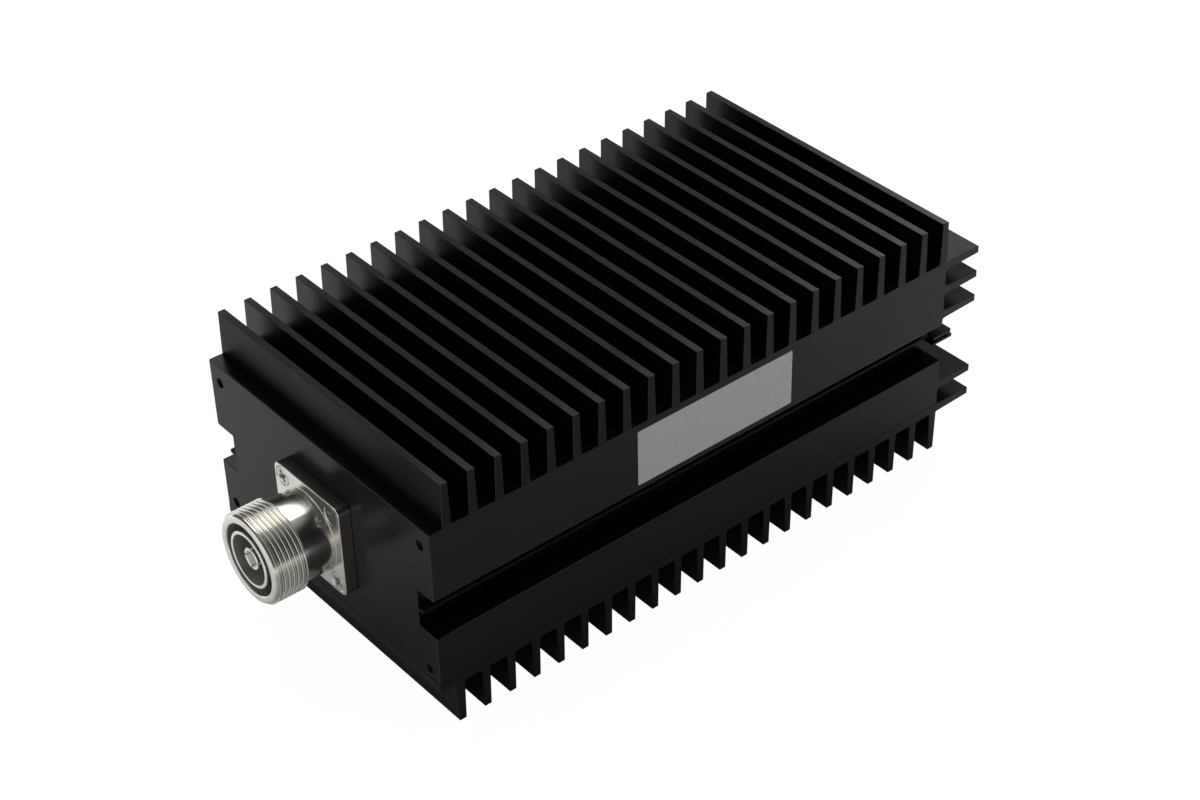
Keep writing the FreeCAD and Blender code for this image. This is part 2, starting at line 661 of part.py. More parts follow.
def build_clamp_screws():
    """Six socket cap screws, from the channels between the bottom fins into the upper half."""
    body = new_body("clamp_screws", CLAMP_X, CLAMP_Y, UNDERSIDE)
    shank = "Sizes.screw_diameter / 2"
    bottom = "-Sizes.clamp_head_height"
    turned = turn(body, [
        ("0", bottom),
        (CLAMP_HEAD, bottom),
        (CLAMP_HEAD, "0"),
        (shank, "0"),
        (shank, CLAMP_LENGTH),
        ("0", CLAMP_LENGTH),
    ], "V_Axis")
    flat = "Sizes.clamp_socket / 2"
    point = "Sizes.clamp_socket / sqrt(3)"
    side = "Sizes.clamp_socket / sqrt(3) / 2"
    hexagon = [(point, "0"), (side, flat), ("-" + side, flat),
               ("-" + point, "0"), ("-" + side, "-" + flat), (side, "-" + flat)]
    socket = cut(body, outline(body, "XY_Plane", hexagon, bottom), "Sizes.clamp_socket_depth")
    repeat_in_grid(body, [turned, socket], *CLAMP_GRID)


def build_load():
    """Carrier, foil, chip, lid, ribbon and screws in the cavity."""
    footprint = rectangle("Sizes.carrier_start", "Sizes.carrier_start + Sizes.carrier_length",
                          "-" + CARRIER_SIDE, CARRIER_SIDE)
    foil = new_body("thermal_foil")
    pad(foil, outline(foil, "XY_Plane", footprint, CAVITY_FLOOR), "Sizes.foil_thickness")
    carrier_holes(foil, CAVITY_FLOOR, CLEARED, "Sizes.foil_thickness")
    carrier = new_body("load_carrier")
    thickness = CARRIER_TOP + " - " + CARRIER_BOTTOM
    pad(carrier, outline(carrier, "XY_Plane", footprint, CARRIER_BOTTOM), thickness)
    carrier_holes(carrier, CARRIER_BOTTOM, CLEARED, thickness)

    block("load_chip", ("Sizes.chip_start", "-Sizes.chip_size / 2", CARRIER_TOP),
          ("Sizes.chip_size", "Sizes.chip_size", "Sizes.chip_thickness"))
    block("load_cover", ("Sizes.cover_start", "-Sizes.cover_size / 2", CHIP_TOP),
          ("Sizes.cover_size", "Sizes.cover_size", "Sizes.cover_thickness"))
    block("load_tab", ("Sizes.tab_start", "-Sizes.tab_width / 2", CHIP_TOP),
          ("Sizes.tab_length", "Sizes.tab_width", "Sizes.tab_thickness"))

    screws = new_body("carrier_screws", CARRIER_X, CARRIER_Y, CARRIER_TOP)
    shank = "Sizes.screw_diameter / 2"
    head = "Sizes.carrier_head_diameter / 2"
    turned = turn(screws, [
        ("0", "-Sizes.carrier_screw_length"),
        (shank, "-Sizes.carrier_screw_length"),
        (shank, "0"),
        (head, "0"),
        (head, "Sizes.carrier_head_height"),
        ("0", "Sizes.carrier_head_height"),
    ], "V_Axis")
    slot = rectangle("-Sizes.recess_span / 2", "Sizes.recess_span / 2",
                     "-Sizes.recess_width / 2", "Sizes.recess_width / 2")
    groove = cut(screws, outline(screws, "XY_Plane", slot, "Sizes.carrier_head_height"),
                 "Sizes.carrier_head_height / 2", False)
    repeat_in_grid(screws, [turned, groove], *CARRIER_GRID)


def build_label():
    """Foil label on the side, bare."""
    block("rating_label", ("Sizes.label_start", "-%s - Sizes.label_thickness" % SIDE,
                           "%s + Sizes.label_margin" % GROOVE_ROOF),
          ("Sizes.label_length", "Sizes.label_thickness",
           "%s - %s - 2 * Sizes.label_margin" % (TOP, GROOVE_ROOF)))


def check_and_export():
    """Recomputes, checks every object and solid, and writes one STEP file for each piece."""
    doc.recompute()
    os.makedirs("parts", exist_ok=True)
    for item in doc.Objects:
        if "Invalid" in item.State or "Error" in item.State:
            raise RuntimeError("%s is %s" % (item.Name, item.State))
    for piece in pieces:
        if piece.Shape.isNull() or not piece.Shape.isValid():
            raise RuntimeError("%s has no valid shape" % piece.Label)
        piece.Shape.exportStep("parts/%s.step" % piece.Label)
        print("%-20s %d solid(s), %.1f mm3" % (piece.Label, len(piece.Shape.Solids), piece.Shape.Volume))


build_upper_heatsink()
build_lower_body()
build_bottom_fin_plate()
build_front_plate()
build_centre_plate()
build_parting_gasket()
build_connector_shell()
build_line_parts()
build_flange_screws()
build_clamp_screws()
build_load()
build_label()
check_and_export()
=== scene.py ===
"""Looks of a finned coaxial dummy load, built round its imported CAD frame.

Shapes are worked out in millimetres from the middle of the end plate's outer face, at floor
height: x runs back along the block, y across it and z up. They go into the meshes in metres.
"""

import logging
from collections.abc import Callable
from dataclasses import dataclass
from enum import Enum, auto
from math import ceil, pi, radians, tau

import bmesh
import bpy
import numpy as np
from mathutils import Matrix, Vector
from mathutils.geometry import delaunay_2d_cdt

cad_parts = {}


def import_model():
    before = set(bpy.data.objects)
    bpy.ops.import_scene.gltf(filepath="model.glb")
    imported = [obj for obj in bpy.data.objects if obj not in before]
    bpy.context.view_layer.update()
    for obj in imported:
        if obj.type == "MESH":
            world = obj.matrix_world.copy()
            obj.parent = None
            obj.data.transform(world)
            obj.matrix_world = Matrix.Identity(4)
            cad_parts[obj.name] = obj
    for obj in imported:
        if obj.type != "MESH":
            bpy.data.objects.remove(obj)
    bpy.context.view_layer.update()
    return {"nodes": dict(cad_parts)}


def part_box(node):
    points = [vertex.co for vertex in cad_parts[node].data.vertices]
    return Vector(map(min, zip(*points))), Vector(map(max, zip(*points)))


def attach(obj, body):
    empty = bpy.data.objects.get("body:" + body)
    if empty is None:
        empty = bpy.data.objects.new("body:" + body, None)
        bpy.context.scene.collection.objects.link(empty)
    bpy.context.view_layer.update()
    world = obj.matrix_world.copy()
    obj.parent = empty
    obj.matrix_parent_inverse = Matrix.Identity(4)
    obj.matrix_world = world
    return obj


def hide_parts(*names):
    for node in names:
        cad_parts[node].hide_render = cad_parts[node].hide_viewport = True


LOG = logging.getLogger("dummy_load")

MILLIMETRE = 0.001
WELD = 2e-6
SMOOTH_BELOW = radians(38)
NO_LENGTH = 1e-9
SAME_POINT = 1e-5
FILL_ERROR = 1e-7

# The least share of a face's normal that points one way, for the tests that pick its skin
SIDEWAYS = 0.93
SQUARE_ON = 0.9
FACING = 0.7
UPWARD = 0.5
BEVELLED = 0.3
SLANTED = 0.2

Pair = tuple[float, float]
Ring = tuple[float, float, tuple[float, ...]]
Triple = tuple[float, float, float]
Colour = Triple
Socket = bpy.types.NodeSocket
Inputs = dict[str | int, float | tuple[float, ...] | Socket]


class Skin(Enum):
    """Kinds of surface that the pieces show."""

    FLANK = auto()
    FRONT_FLANK = auto()
    CUT = auto()
    # darker copy of the saw cut for the lower sides: painted shade
    CUT_SHADED = auto()
    FIN_CUT = auto()
    TIP = auto()
    EDGE = auto()
    CHANNEL = auto()
    REAR_FIN = auto()
    REAR_SHADE = auto()
    END_FACE = auto()
    END_LOW = auto()
    LEDGE = auto()
    PLATING = auto()
    CONTACT = auto()
    # darker copy of the plating inside the gaps: painted shade
    SHADED_BORE = auto()
    # lighter, mostly matt copy of the silver inside the socket: painted highlight
    LIT_SOCKET = auto()
    SCREW = auto()
    DARK_SCREW = auto()
    LABEL = auto()


class Axis(Enum):
    """The way along which a flat outline is given its thickness."""

    ALONG = 0
    ACROSS = 1
    UP = 2


class Ramp(Enum):
    """How a level changes between two values: evenly, or with soft ends."""

    EVEN = "LINEAR"
    SOFT = "SMOOTHSTEP"


class Measure(Enum):
    """What a level goes by: a point's distance from a vector, or its reach along it."""

    AWAY = "DISTANCE"
    ALONG = "DOT_PRODUCT"


# Outlines and surfaces


def rectangle(low: Pair, high: Pair) -> np.ndarray:
    """Corners of a rectangle, anticlockwise from its lowest one."""
    return np.array([low, (high[0], low[1]), high, (low[0], high[1])])


def repeated(outline: np.ndarray, places: list[Pair]) -> np.ndarray:
    """Corners of one outline after the other, each moved to its own place."""
    return (outline + np.array(places)[:, None]).reshape(-1, 2)


def round_fin(foot: float, tip: float) -> list[float]:
    """Roundings of a fin's four corners."""
    return [foot, tip, tip, foot]


def mirrored(half: np.ndarray, signs: tuple[int, int] | int) -> np.ndarray:
    """Closes half a list with its mirror image, whose coordinates change by the signs."""
    return np.concatenate([half, half[::-1] * signs])


def eased(corners: np.ndarray, radii: np.ndarray | float, steps: int = 4) -> np.ndarray:
    """Rounds the corners of a closed outline.

    Each corner c gives way to a quadratic Bezier curve, (1-t)^2 a + 2t(1-t) c + t^2 b, whose
    ends a and b lie one radius before and after the corner on its two sides.

    Args:
        corners: The outline's corners, one per row.
        radii: How far from each corner, or from all, its curve starts.
        steps: The number of points on each curve.

    Returns:
        The rounded outline, with the same number of points for every corner.
    """
    before = np.roll(corners, 1, axis=0) - corners
    after = np.roll(corners, -1, axis=0) - corners
    before /= np.maximum(np.linalg.norm(before, axis=1, keepdims=True), NO_LENGTH)
    after /= np.maximum(np.linalg.norm(after, axis=1, keepdims=True), NO_LENGTH)
    reach = np.broadcast_to(radii, len(corners))[:, None]
    start, end = corners + before * reach, corners + after * reach
    t = np.linspace(0, 1, steps)[:, None, None]
    curve = (1 - t) ** 2 * start + 2 * t * (1 - t) * corners + t**2 * end
    return curve.transpose(1, 0, 2).reshape(-1, 2)


def drawn_in(corners: np.ndarray, depths: np.ndarray | float) -> np.ndarray:
    """Moves each side of a closed outline towards its inside.

    The outline runs anticlockwise, so the inside is to the left of each side. A corner moves by
    the vector whose dot product with either side's left normal is that side's depth.

    Args:
        corners: The outline's corners, one per row.
        depths: The depth for the side that starts at each corner, or for all.

    Returns:
        The corners of the smaller outline.
    """
    side = np.roll(corners, -1, axis=0) - corners
    normal = np.stack([-side[:, 1], side[:, 0]], axis=1)
    normal /= np.linalg.norm(normal, axis=1, keepdims=True)
    pair = np.stack([np.roll(normal, 1, axis=0), normal], axis=1)
    depths = np.broadcast_to(depths, len(corners))
    wanted = np.stack([np.roll(depths, 1), depths], axis=1)
    return corners + np.linalg.solve(pair, wanted[..., None])[..., 0]


def distinct(loop: np.ndarray) -> np.ndarray:
    """Leaves out a loop's points that repeat the point before them."""
    return loop[np.linalg.norm(loop - np.roll(loop, 1, axis=0), axis=1) > SAME_POINT]


def full_turn(count: int) -> np.ndarray:
    """Equal angles round a full turn, with its end as well as its start."""
    return np.arange(count + 1) * tau / count


def circle(radius: float, angle: np.ndarray, middle: Pair = (0, 0)) -> np.ndarray:
    """Points on a circle: middle + radius (sin a, cos a)."""
    return np.stack([middle[0] + radius * np.sin(angle), middle[1] + radius * np.cos(angle)], axis=1)


def turned(profile: np.ndarray, angle: np.ndarray, middle: Pair = (0, 0)) -> np.ndarray:
    """Carries a profile round an axis that runs along x.

    A profile point (x, r) at the angle a becomes (x, middle_y + r sin a, middle_z + r cos a).

    Args:
        profile: Points (x, r), one per row, or a grid with its own points for every angle.
        angle: The angles.
        middle: Where the axis crosses the yz plane.

    Returns:
        A grid with one row for each profile point and one column for each angle.
    """
    if profile.ndim == 2:
        profile = np.repeat(profile[:, None], len(angle), axis=1)
    x, radius = profile[..., 0], profile[..., 1]
    return np.stack([x, middle[0] + radius * np.sin(angle), middle[1] + radius * np.cos(angle)], axis=-1)


def lathed(rows: list[tuple[np.ndarray | float, np.ndarray | float]], columns: int) -> np.ndarray:
    """Grid of points (x, r) from rows whose x or r may be one number or one for each column."""
    return np.stack([np.stack([np.broadcast_to(value, columns) for value in row], axis=-1)
                     for row in rows])


def threaded(ends: Pair, crest: float, depth: float, pitch: float, angle: np.ndarray,
             fades: Pair, rows: int = 10) -> np.ndarray:
    """Wall of a right-hand screw thread, as an open grid of points (x, r).

    Row i runs along the groove: at the angle a its x is (i / rows - a / full turn) pitch from the
    low end, held between the two ends. The groove's share of its depth is sin^2(pi i / rows), so
    crests and valleys are round, and it fades out smoothly towards both ends. The last column
    meets the first one a whole pitch further on.

    Args:
        ends: The lowest and highest x.
        crest: The radius between the grooves.
        depth: The groove's depth, negative for a thread in a hole.
        pitch: The thread's pitch.
        angle: The angles round the wall, with a full turn's start and end.
        fades: The lengths over which the groove starts and ends.
        rows: The number of rows for one pitch.

    Returns:
        The grid. Its first and last rows are plain circles at the two ends.
    """
    low, high = ends
    row = np.arange(ceil(((high - low) / pitch + 1) * rows) + 1)[:, None]
    x = np.clip(low + (row / rows - angle / tau) * pitch, low, high)
    near, far = np.clip((x - low) / fades[0], 0, 1), np.clip((high - x) / fades[1], 0, 1)
    share = near * near * (3 - 2 * near) * far * far * (3 - 2 * far)
    groove = np.sin(pi * row / rows) ** 2
    return np.stack([x, crest - depth * groove * share], axis=-1)


def filled(loops: list[np.ndarray]) -> tuple[np.ndarray, np.ndarray]:
    """Fills the flat region between closed loops with triangles.

    A constrained Delaunay triangulation takes every loop as fixed sides. A triangle stays where a
    ray from its middle crosses the loops an odd number of times.

    Args:
        loops: The outer loop and the rims of its holes, as flat points.

    Returns:
        The points, and the triangles as rows of three point numbers.
    """
    points = np.concatenate(loops)
    sizes = np.array([len(loop) for loop in loops])
    first = np.cumsum(sizes) - sizes
    here = np.arange(len(points))
    ends = np.repeat(first + sizes - 1, sizes)
    following = np.where(here == ends, np.repeat(first, sizes), here + 1)
    sides = np.stack([here, following], axis=1)
    corners = [Vector(point) for point in points.tolist()]
    found = delaunay_2d_cdt(corners, sides.tolist(), [], 0, FILL_ERROR)
    flat = np.array([tuple(point) for point in found[0]])
    triangles = np.array(found[2])
    x, y = flat[triangles].mean(axis=1).T[..., None]
    (low_x, low_y), (high_x, high_y) = points[sides[:, 0]].T, points[sides[:, 1]].T
    rise = np.where(high_y == low_y, 1.0, high_y - low_y)
    crossing = low_x + (y - low_y) * (high_x - low_x) / rise
    crossed = ((low_y > y) != (high_y > y)) & (x < crossing)
    return flat, triangles[crossed.sum(axis=1) % 2 == 1]


def turned_axes(angle: float) -> np.ndarray:
    """Matrix that turns flat points, written as rows on its left, by an angle."""
    return np.array([[np.cos(angle), np.sin(angle)], [-np.sin(angle), np.cos(angle)]])


def standing(flat: np.ndarray, axis: Axis, level: float) -> np.ndarray:
    """Puts flat points into space: (y, z) points at an x, (x, z) at a y, or (x, y) at a z."""
    return np.insert(flat, axis.value, level, axis=-1)


def linked(name: str, data: bpy.types.ID) -> bpy.types.Object:
    """Makes an object and puts it into the scene.

    Args:
        name: The object's name.
        data: Its mesh, camera or lamp.

    Returns:
        The object.
    """
    item = bpy.data.objects.new(name, data)
    bpy.context.scene.collection.objects.link(item)
    return item


@dataclass(frozen=True)
class Hole:
    """A round hole through a plate.

    Attributes:
        middle: Where its axis crosses the plate, as (y, z).
        wall: Its wall from the front to the back, as points (x, r) or a grid of them.
        angle: The angles round its wall, with a full turn's start and end.
    """

    middle: Pair
    wall: np.ndarray
    angle: np.ndarray

    @property
    def grid(self) -> np.ndarray:
        """The wall in space, as an open grid."""
        return turned(self.wall, self.angle, self.middle)

    def rim(self, row: int) -> np.ndarray:
        """The wall's first or last loop, as flat points."""
        return self.grid[row][:-1, 1:]


class Shell:
    """Points and faces of one piece, gathered part by part and then welded into one mesh."""

    def __init__(self, name: str) -> None:
        """Starts an empty shell.

        Args:
            name: The name of the piece that it becomes.
        """
        self.name = name
        self.points: list[np.ndarray] = []
        self.faces: list[list[int]] = []
        self.count = 0

    def add(self, points: np.ndarray, *faces: np.ndarray) -> None:
        """Adds points with faces between them.

        Args:
            points: The points.
            faces: Arrays of faces, numbered from the first of these points.
        """
        for alike in faces:
            self.faces.extend((alike + self.count).tolist())
        self.points.append(points.reshape(-1, 3))
        self.count += len(self.points[-1])

    def add_grid(self, grid: np.ndarray, closed: bool = True) -> None:
        """Adds the quads between a grid's points.

        Args:
            grid: The points, in rows and columns.
            closed: Whether a row's last point is joined to its first one.
        """
        rows, columns = grid.shape[:2]
        number = np.arange(rows * columns).reshape(rows, columns)
        if closed:
            number = np.concatenate([number, number[:, :1]], axis=1)
        quads = np.stack([number[:-1, :-1], number[:-1, 1:], number[1:, 1:], number[1:, :-1]], axis=-1)
        self.add(grid, quads.reshape(-1, 4))

    def add_rings(self, rings: list[np.ndarray], axis: Axis, levels: list[float]) -> None:
        """Adds the faces between flat rings of equal length that stand at levels along an axis."""
        self.add_grid(np.stack([standing(ring, axis, level) for ring, level in zip(rings, levels)]))

    def add_lid(self, ring: np.ndarray, runs: tuple[range, ...] = ()) -> None:
        """Closes a loop with one many-sided face, and with one more for each run of its points."""
        wall = np.delete(np.arange(len(ring)), [number for run in runs for number in run[1:-1]])
        self.add(ring, wall[None], *(np.array([run]) for run in runs))

    def add_flat(self, loops: list[np.ndarray], axis: Axis, level: float) -> None:
        """Adds a flat face with holes."""
        flat, triangles = filled(loops)
        self.add(standing(flat, axis, level), triangles)

    def sweep(self, stations: list[float], outlines: list[np.ndarray],
              runs: tuple[range, ...] = ()) -> None:
        """Carries an outline across the block, from ring to ring, with a lid at either end.

        Args:
            stations: Each ring's y.
            outlines: Each ring's (x, z) outline; all have the same number of points.
            runs: Runs of the outline's points that get a face of their own in the lids.
        """
        self.add_rings(outlines, Axis.ACROSS, stations)
        for end in (0, -1):
            self.add_lid(standing(outlines[end], Axis.ACROSS, stations[end]), runs)

    def add_plate(self, axis: Axis, corners: np.ndarray, radii: np.ndarray | float, levels: Pair,
                  bevels: Pair, holes: tuple[Hole, ...] = (), steps: int = 4) -> None:
        """Gives a flat outline its thickness, with bevelled edges and round holes.

        Args:
            axis: The way of the thickness.
            corners: The outline's corners, anticlockwise.
            radii: The rounding of each corner, or of all.
            levels: The two faces' places along the axis.
            bevels: The widths of the bevels at them; the second face may have none.
            holes: The holes, for a plate whose thickness runs along x.
            steps: The number of points on a rounded corner.
        """
        (low, high), (near, far) = levels, bevels
        rings = [(low, near), (low + near, 0), (high - far, 0), (high, far)]
        if not far:
            rings.pop()
        flat = [eased(drawn_in(corners, inset), radii, steps) for _, inset in rings]
        self.add_rings(flat, axis, [level for level, _ in rings])
        for hole in holes:
            self.add_grid(hole.grid, closed=False)
        for row in (0, -1):
            self.add_flat([distinct(flat[row]), *(hole.rim(row) for hole in holes)], axis, levels[row])

    def finish(self, origin: np.ndarray) -> bpy.types.Object:
        """Welds the parts, turns the faces outwards and makes the object.

        Args:
            origin: Where the shell's own zero lies in the row's frame, in metres.

        Returns:
            The new object, at the origin of the frame.
        """
        mesh = bpy.data.meshes.new(self.name)
        points = np.concatenate(self.points) * MILLIMETRE + origin
        mesh.from_pydata(points.tolist(), [], self.faces)
        build = bmesh.new()
        build.from_mesh(mesh)
        bmesh.ops.remove_doubles(build, verts=build.verts, dist=WELD)
        bmesh.ops.dissolve_degenerate(build, edges=build.edges, dist=WELD / 2)
        bmesh.ops.recalc_face_normals(build, faces=build.faces)
        if build.calc_volume(signed=True) < 0:
            bmesh.ops.reverse_faces(build, faces=build.faces)
        loose = sum(1 for edge in build.edges if len(edge.link_faces) != 2)
        build.to_mesh(mesh)
        build.free()
        mesh.polygons.foreach_set("use_smooth", np.ones(len(mesh.polygons), bool))
        mesh.set_sharp_from_angle(angle=SMOOTH_BELOW)
        piece = linked(self.name, mesh)
        piece.modifiers.new("flat_faces", "WEIGHTED_NORMAL").keep_sharp = True
        mesh.calc_loop_triangles()
        LOG.info("%s: %d triangles, %d open edges", self.name, len(mesh.loop_triangles), loose)
        return piece


class Faces:
    """Middles of a piece's faces, in the shells' millimetres, and their outward normals."""

    def __init__(self, mesh: bpy.types.Mesh, origin: np.ndarray) -> None:
        """Reads a mesh.

        Args:
            mesh: The mesh.
            origin: Where its shell's own zero lies in the row's frame, in metres.
        """
        middle, normal = np.empty((2, len(mesh.polygons) * 3))
        mesh.polygons.foreach_get("center", middle)
        mesh.polygons.foreach_get("normal", normal)
        self.x, self.y, self.z = (middle.reshape(-1, 3) - origin).T / MILLIMETRE
        self.nx, self.ny, self.nz = normal.reshape(-1, 3).T


Tests = Callable[[Faces], dict[Skin, np.ndarray]]


# Finishes

# Ranges of a noise's values: the broad one drives roughness, and the others the shares of colours
BLOTCHES = (0.35, 0.65)
SPECKS = (0.4, 0.75)
CLOUDS = (0.35, 0.7)
GRAINS = (0.45, 0.8)
BROAD = (0.3, 0.7)

# Specks are a multiple of the second colour. Rubbed spots have a size as a share of the blotches,
# a noise's value at which they would start without a share, the width of their rim, and a strength
SPECK_GAIN = 3
SPOT_SIZE = 1 / 6
SPOT_START = 0.72
SPOT_RIM = 0.1
SPOT_STRENGTH = 0.8


class Nodes:
    """A node tree that is added to step by step."""

    def __init__(self, tree: bpy.types.NodeTree) -> None:
        """Takes the tree that the nodes go into."""
        self.tree = tree

    def feed(self, node: bpy.types.Node, inputs: Inputs) -> None:
        """Links or sets a node's inputs.

        Args:
            node: The node.
            inputs: The socket or the value for each input's name or number.
        """
        for name, value in inputs.items():
            if isinstance(value, Socket):
                self.tree.links.new(value, node.inputs[name])
            else:
                node.inputs[name].default_value = value

    def add(self, kind: str, inputs: Inputs, **options: str | bool) -> bpy.types.Node:
        """Adds a node.

        Args:
            kind: Blender's name of its kind.
            inputs: The sockets and values for its inputs.
            options: The values of its settings.

        Returns:
            The node.
        """
        node = self.tree.nodes.new(kind)
        for option, choice in options.items():
            setattr(node, option, choice)
        self.feed(node, inputs)
        return node

    def spread(self, value: Socket, reach: Pair, levels: Pair, ramp: Ramp = Ramp.EVEN) -> Socket:
        """Maps a value's reach onto two levels.

        Args:
            value: The value.
            reach: The lowest and highest value that count.
            levels: The levels that these two give.
            ramp: How the level changes between them.

        Returns:
            The socket with the level.
        """
        ends = dict(zip(("From Min", "From Max", "To Min", "To Max"), (*reach, *levels)))
        node = self.add("ShaderNodeMapRange", {"Value": value, **ends}, interpolation_type=ramp.value)
        return node.outputs["Result"]


class Recipe(Nodes):
    """One material's nodes, added step by step round its Principled shader."""

    def __init__(self, name: str) -> None:
        """Starts a material whose patterns read the piece's own coordinates, in metres.

        Args:
            name: The material's name.
        """
        self.material = bpy.data.materials.new(name)
        self.material.use_nodes = True
        super().__init__(self.material.node_tree)
        self.place = self.add("ShaderNodeTexCoord", {}).outputs["Object"]

    def noise(self, size: float, detail: float, stretch: Triple = (1, 1, 1),
              rough: float = 0.55) -> Socket:
        """Adds a noise pattern.

        Args:
            size: The size of its spots, in millimetres.
            detail: How many finer layers it has.
            stretch: How many times longer the spots are along x, y and z.
            rough: How strong the finer layers are.

        Returns:
            The socket with the pattern's value.
        """
        inputs = {"Vector": self.place, "Scale": tuple(way * size * MILLIMETRE for way in stretch)}
        mapping = self.add("ShaderNodeMapping", inputs, vector_type="TEXTURE")
        inputs = {"Vector": mapping.outputs["Vector"], "Scale": 1, "Detail": detail, "Roughness": rough}
        return self.add("ShaderNodeTexNoise", inputs).outputs["Fac"]

    def across(self) -> Socket:
        """Gives a point's distance from the middle plane, across the block, in metres."""
        parts = self.add("ShaderNodeSeparateXYZ", {0: self.place})
        return self.add("ShaderNodeMath", {0: parts.outputs["Y"]}, operation="ABSOLUTE").outputs[0]

    def mix(self, factor: Socket, first: Colour | Socket, second: Colour | Socket) -> Socket:
        """Mixes two colours.

        Args:
            factor: The second colour's share.
            first: A colour, or the socket of one.
            second: The other colour, or its socket.

        Returns:
            The socket with the mixed colour.
        """
        blend = self.add("ShaderNodeMix", {"Factor": factor}, data_type="RGBA")
        *ends, result = [socket for socket in (*blend.inputs, *blend.outputs) if socket.type == "RGBA"]
        for colour, end in zip((first, second), ends):
            if isinstance(colour, Socket):
                self.tree.links.new(colour, end)
            else:
                end.default_value = (*colour, 1)
        return result

    def done(self, inputs: Inputs, relief: Socket, depth: float) -> bpy.types.Material:
        """Feeds the shader.

        Args:
            inputs: The sockets and values for the shader's inputs.
            relief: The height of its fine relief.
            depth: The depth of the relief, in millimetres.

        Returns:
            The material.
        """
        bump = self.add("ShaderNodeBump", {"Distance": depth * MILLIMETRE, "Height": relief})
        self.feed(self.tree.nodes["Principled BSDF"], {**inputs, "Normal": bump.outputs["Normal"]})
        return self.material


@dataclass(frozen=True)
class Finish:
    """What every finish says.

    Attributes:
        name: The material's name.
        colour: Its own colour.
        second: The colour of its blotches, duller places or shade.
        roughness: The lowest and highest roughness.
    """

    name: str
    colour: Colour
    second: Colour
    roughness: Pair


@dataclass(frozen=True)
class Anodised(Finish):
    """Black anodised aluminium.

    Attributes:
        gloss: The strength of its reflection.
        blotch: The size of the blotches, in millimetres.
        grain: The size of the fine grain.
        grain_share: How far the grain lightens the colour.
        lines: How many times longer the grain is along x, y and z.
        depth: The depth of the grain, in millimetres.
        wear_and_highlight: The colour of the rubbed spots, and of the lighter ends: a painted
            highlight, partly wear.
        worn_share: The share of the rubbed spots.
        ends: Distances from the middle, across the block and in millimetres, between which it
            gets lighter: a painted highlight towards the ends, partly wear.
        ends_wear_and_highlight_share: How far it gets lighter there.
    """

    gloss: float
    blotch: float = 14
    grain: float = 0.35
    grain_share: float = 0.3
    lines: Triple = (1, 1, 1)
    depth: float = 0.004
    wear_and_highlight: Colour = (0, 0, 0)
    worn_share: float = 0
    # Where and how far it gets lighter towards the ends: a painted highlight, partly wear
    ends: Pair = (0, 0)
    ends_wear_and_highlight_share: float = 0

    def make(self) -> bpy.types.Material:
        """Mixes the two colours by blotches and grain, which also drive roughness and relief.

        Returns:
            The material.
        """
        recipe = Recipe(self.name)
        blotches = recipe.noise(self.blotch, detail=4, rough=0.6)
        grain = recipe.noise(self.grain, detail=2, stretch=self.lines)
        base = recipe.mix(recipe.spread(blotches, BLOTCHES, (0, 1)), self.colour, self.second)
        specks = tuple(SPECK_GAIN * part for part in self.second)
        colour = recipe.mix(recipe.spread(grain, SPECKS, (0, self.grain_share)), base, specks)
        if self.worn_share:
            rubbed = recipe.noise(self.blotch * SPOT_SIZE, detail=5, stretch=self.lines, rough=0.7)
            start = SPOT_START - self.worn_share
            spots = recipe.spread(rubbed, (start, start + SPOT_RIM), (0, SPOT_STRENGTH))
            colour = recipe.mix(spots, colour, self.wear_and_highlight)
        # Lighter towards the ends across the block: painted highlight, partly wear
        if self.ends_wear_and_highlight_share:
            reach = tuple(distance * MILLIMETRE for distance in self.ends)
            lighter = recipe.spread(recipe.across(), reach, (0, self.ends_wear_and_highlight_share))
            colour = recipe.mix(lighter, colour, self.wear_and_highlight)
        roughness = recipe.spread(blotches, BROAD, self.roughness)
        inputs = {"Base Color": colour, "Roughness": roughness, "Specular IOR Level": self.gloss}
        return recipe.done(inputs, grain, self.depth)


@dataclass(frozen=True)
class Metal(Finish):
    """Bare or plated metal.

    Attributes:
        lines: How many times longer the machining marks are along x, y and z.
        mark: The width of the marks, in millimetres.
        depth: Their depth.
        metallic: How much of the light it mirrors as a metal does.
        blotch: The size of the duller places.
    """

    lines: Triple = (1, 1, 1)
    mark: float = 0.3
    depth: float = 0.002
    metallic: float = 1.0
    blotch: float = 5

    def make(self) -> bpy.types.Material:
        """Mixes the two colours by blotches, with fine marks in roughness and relief.

        Returns:
            The material.
        """
        recipe = Recipe(self.name)
        blotches = recipe.noise(self.blotch, detail=4)
        marks = recipe.noise(self.mark, detail=2, stretch=self.lines)
        colour = recipe.mix(recipe.spread(blotches, SPECKS, (0, 1)), self.colour, self.second)
        roughness = recipe.spread(marks, BROAD, self.roughness)
        inputs = {"Base Color": colour, "Roughness": roughness, "Metallic": self.metallic}
        return recipe.done(inputs, marks, self.depth)


@dataclass(frozen=True)
class Matter(Finish):
    """Plastic, rubber, ceramic or film that is no metal.

    Attributes:
        grain: The size of its grain, in millimetres.
        depth: The depth of the grain.
        cloud: The size of its clouds, as a multiple of the grain.
        shares: How far clouds and grain take the second colour.
    """

    grain: float = 0.4
    depth: float = 0.004
    cloud: float = 12
    shares: Pair = (0.7, 0.5)

    def make(self) -> bpy.types.Material:
        """Mixes the two colours by two sizes of grain.

        Returns:
            The material.
        """
        recipe = Recipe(self.name)
        cloud = recipe.noise(self.grain * self.cloud, detail=4)
        grain = recipe.noise(self.grain, detail=3)
        base = recipe.mix(recipe.spread(cloud, CLOUDS, (0, self.shares[0])), self.colour, self.second)
        colour = recipe.mix(recipe.spread(grain, GRAINS, (0, self.shares[1])), base, self.second)
        roughness = recipe.spread(grain, BROAD, self.roughness)
        return recipe.done({"Base Color": colour, "Roughness": roughness}, grain, self.depth)


BLACK: Colour = (0.0008, 0.0008, 0.0009)
SOOT: Colour = (0.0015, 0.0015, 0.0016)
LATHED: Triple = (1, 900, 900)

